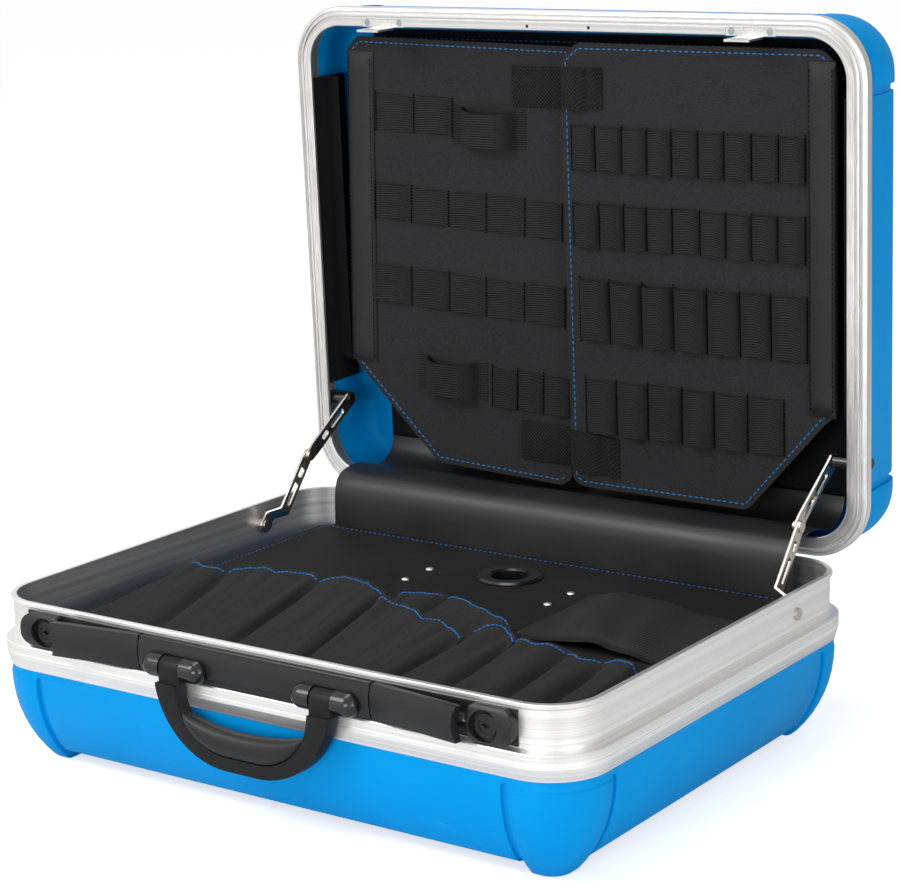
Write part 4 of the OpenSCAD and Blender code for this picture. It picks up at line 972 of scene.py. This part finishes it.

# %% [markdown]
# The mesh pocket is knitted with ribs that run front to back. Its ribs are real: the sheet is a
# grid whose every second line of points is lifted. The same lines are marked in an attribute,
# from which the knitted finish paints a highlight on the lifted ribs and shade between them.

# %% Mesh pocket
RIBS, RIB_LIFT = 62, 0.6
MESH_X, MESH_WIDE = 77, 126
ribs = bmesh.new()
rib_mark = ribs.verts.layers.float.new("rib")
bmesh.ops.create_grid(ribs, x_segments=RIBS * 2, y_segments=36, size=0.5)
for vert in ribs.verts:
    u, t = vert.co.x + 0.5, vert.co.y + 0.5
    x = MESH_X + MESH_WIDE * u
    rear = 106 - 11 * u - 22 * max(0.0, 0.2 - u)
    y = -10 - 5 * u + (rear + 10 + 5 * u) * t
    middle = 0.52 - 0.22 * t
    hump = math.exp(-(((u - middle) / 0.27) ** 4))
    edge = min(1.0, 7 * (1 - t)) ** 0.6 * min(1.0, 5 * t + 0.55)
    fold = noise.noise(Vector((u * 5 + t * 2, t * 1.5, 7)))
    lift = 0.8 + 7.6 * hump * edge + 3.4 * fold * (0.2 + hump) * min(1.0, 6 * (1 - t))
    vert[rib_mark] = float(round(u * RIBS * 2) % 2) if 0.03 < t < 0.955 else 0.0
    vert.co = (x + 1.5 * fold, y, BOARD_TOP + max(0.5, lift) + RIB_LIFT * vert[rib_mark])
ribs.normal_update()
bmesh.ops.solidify(ribs, geom=ribs.faces[:], thickness=0.4)
settle(ribs, "mesh_cover", mesh_black, "pallet", in_base, ("mesh_pocket",), 70)

# %% [markdown]
# ** Hinge cover.** Leathercloth rolls from the pallet's rear edge over the hinge into the lid. Its profile is extruded across the case and thickened. Because it crosses the hinge, it rides on neither body: its placement is baked into its mesh.

# %% Hinge cover
ROLL_WIDE, ROLL_STEPS = 394, 40
profile = [(159.4, 88.4), (159.4, 97), (159.5, 106), (159.9, 114), (160.8, 120), (162.8, 125.4),
           (166, 129), (170.5, 131.4), (176, 132.6), (182, 133.5), (188, 133.8), (195, 133.2),
           (203, 131.4), (210, 128.6), (216, 127.2), (222, 127.6), (227.6, 129.6),
           (232.6, 133.4), (236, 138.2), (237.8, 143.6), (238.2, 146)]
roll_mesh = bmesh.new()
far = -ROLL_WIDE / 2
strip = [roll_mesh.verts.new((far, y, z)) for y, z in profile]
for a, b in zip(strip, strip[1:]):
    roll_mesh.edges.new((a, b))
for _ in range(ROLL_STEPS):
    ends = [e for e in roll_mesh.edges if min(v.co.x for v in e.verts) > far - 0.01]
    made = bmesh.ops.extrude_edge_only(roll_mesh, edges=ends)
    bmesh.ops.translate(roll_mesh, vec=(ROLL_WIDE / ROLL_STEPS, 0, 0), verts=new_verts(made))
    far = max(v.co.x for v in roll_mesh.verts)
for vert in roll_mesh.verts:
    loose = math.sin(math.pi * min(max((vert.co.y - 159) / 79, 0), 1))
    vert.co.z += 1.1 * loose * noise.noise(Vector((vert.co.x * 0.011, vert.co.y * 0.03, 3)))
roll_mesh.normal_update()
bmesh.ops.solidify(roll_mesh, geom=roll_mesh.faces[:], thickness=1.2)
cover = settle(roll_mesh, "hinge_roll", leathercloth, None, in_base,
               ("hinge_cover",), 60)
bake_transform(cover)

# %% [markdown]
# Cloth is cut flat before it is sewn, and woven cloth hardly stretches. The linings and flaps
# are stuffed pads.


made = bpy.data.objects

# %% [markdown]
# **Floor and light.** The floor is plain and nearly white. To the camera alone it also
# glows a little, so that it reads as white paper and still takes the object's shadow.

# %% Floor
bm = bmesh.new()
bmesh.ops.create_grid(bm, x_segments=1, y_segments=1, size=30)
floor_mesh = bpy.data.meshes.new("floor")
bm.to_mesh(floor_mesh)
bm.free()
floor = add_object("floor", floor_mesh)
floor_paint, graph, shader, _ = start_material("floor_paint", 0.9)
shader.inputs["Base Color"].default_value = (0.82, 0.82, 0.82, 1)
shader.inputs["Emission Color"].default_value = (1, 1, 1, 1)
FLOOR_GLOW = 0.62
seen = graph.node("ShaderNodeLightPath").outputs["Is Camera Ray"]
graph.join(graph.math("MULTIPLY", seen, FLOOR_GLOW), shader, "Emission Strength")
floor_mesh.materials.append(floor_paint)
print("floor laid")

# %% [markdown]
# A large soft lamp from the front left is the key. Two low lamps light the front wall and
# its black plastic, two from the right lift the side, and one above gives the frames their
# bright lines. The world fills in evenly and is white to the camera. In reflections it
# darkens towards the rear right, so that the metal shows a change of tone along its length.

# %% Lamps and world
def softbox(name, place, aim, size, power):
    lamp = bpy.data.lights.new(name, "AREA")
    lamp.shape, lamp.size, lamp.size_y, lamp.energy = "RECTANGLE", size[0], size[1], power
    obj = add_object(name, lamp)
    obj.location = place
    obj.rotation_mode = "QUATERNION"
    obj.rotation_quaternion = (Vector(aim) - Vector(place)).to_track_quat("-Z", "Y")


softbox("key", (-1.3, -1.9, 1.9), (0, 0, 0.15), (1.2, 1.2), 36)
softbox("front", (-1.5, -1.9, 0.45), (0, -0.15, 0.08), (1.0, 0.8), 1.8)
softbox("fill", (0.5, -2.2, 0.45), (0, -0.15, 0.04), (1.0, 0.7), 15)
softbox("low_side", (1.7, -0.6, 0.3), (0.25, 0, 0.04), (0.8, 0.4), 6)
softbox("side", (2.2, -0.6, 1.1), (0.1, 0, 0.15), (1.2, 1.4), 6)
softbox("top", (-0.3, 0.0, 2.2), (0, 0, 0.1), (1.6, 0.8), 16)
world = bpy.data.worlds.new("studio")
world.use_nodes = True
bpy.context.scene.world = world
graph = Graph(world.node_tree)
background = world.node_tree.nodes["Background"]
background.inputs["Color"].default_value = (1, 1, 1, 1)
rays = graph.node("ShaderNodeLightPath")
way = graph.node("ShaderNodeTexCoord").outputs["Generated"]
rear_right = graph.vector("DOT_PRODUCT", way, (0.6, 0.8, 0.0))["Value"]
mirrored = graph.span(rear_right, -0.2, 0.9, 1.0, 0.5)
lit = graph.span(rays.outputs["Is Glossy Ray"], 0.0, 1.0, 0.4, mirrored)
strength = graph.math("MAXIMUM", rays.outputs["Is Camera Ray"], lit)
graph.join(strength, background, "Strength")
bpy.context.scene.view_settings.view_transform = "Standard"
print("lamps:", len(bpy.data.lights))
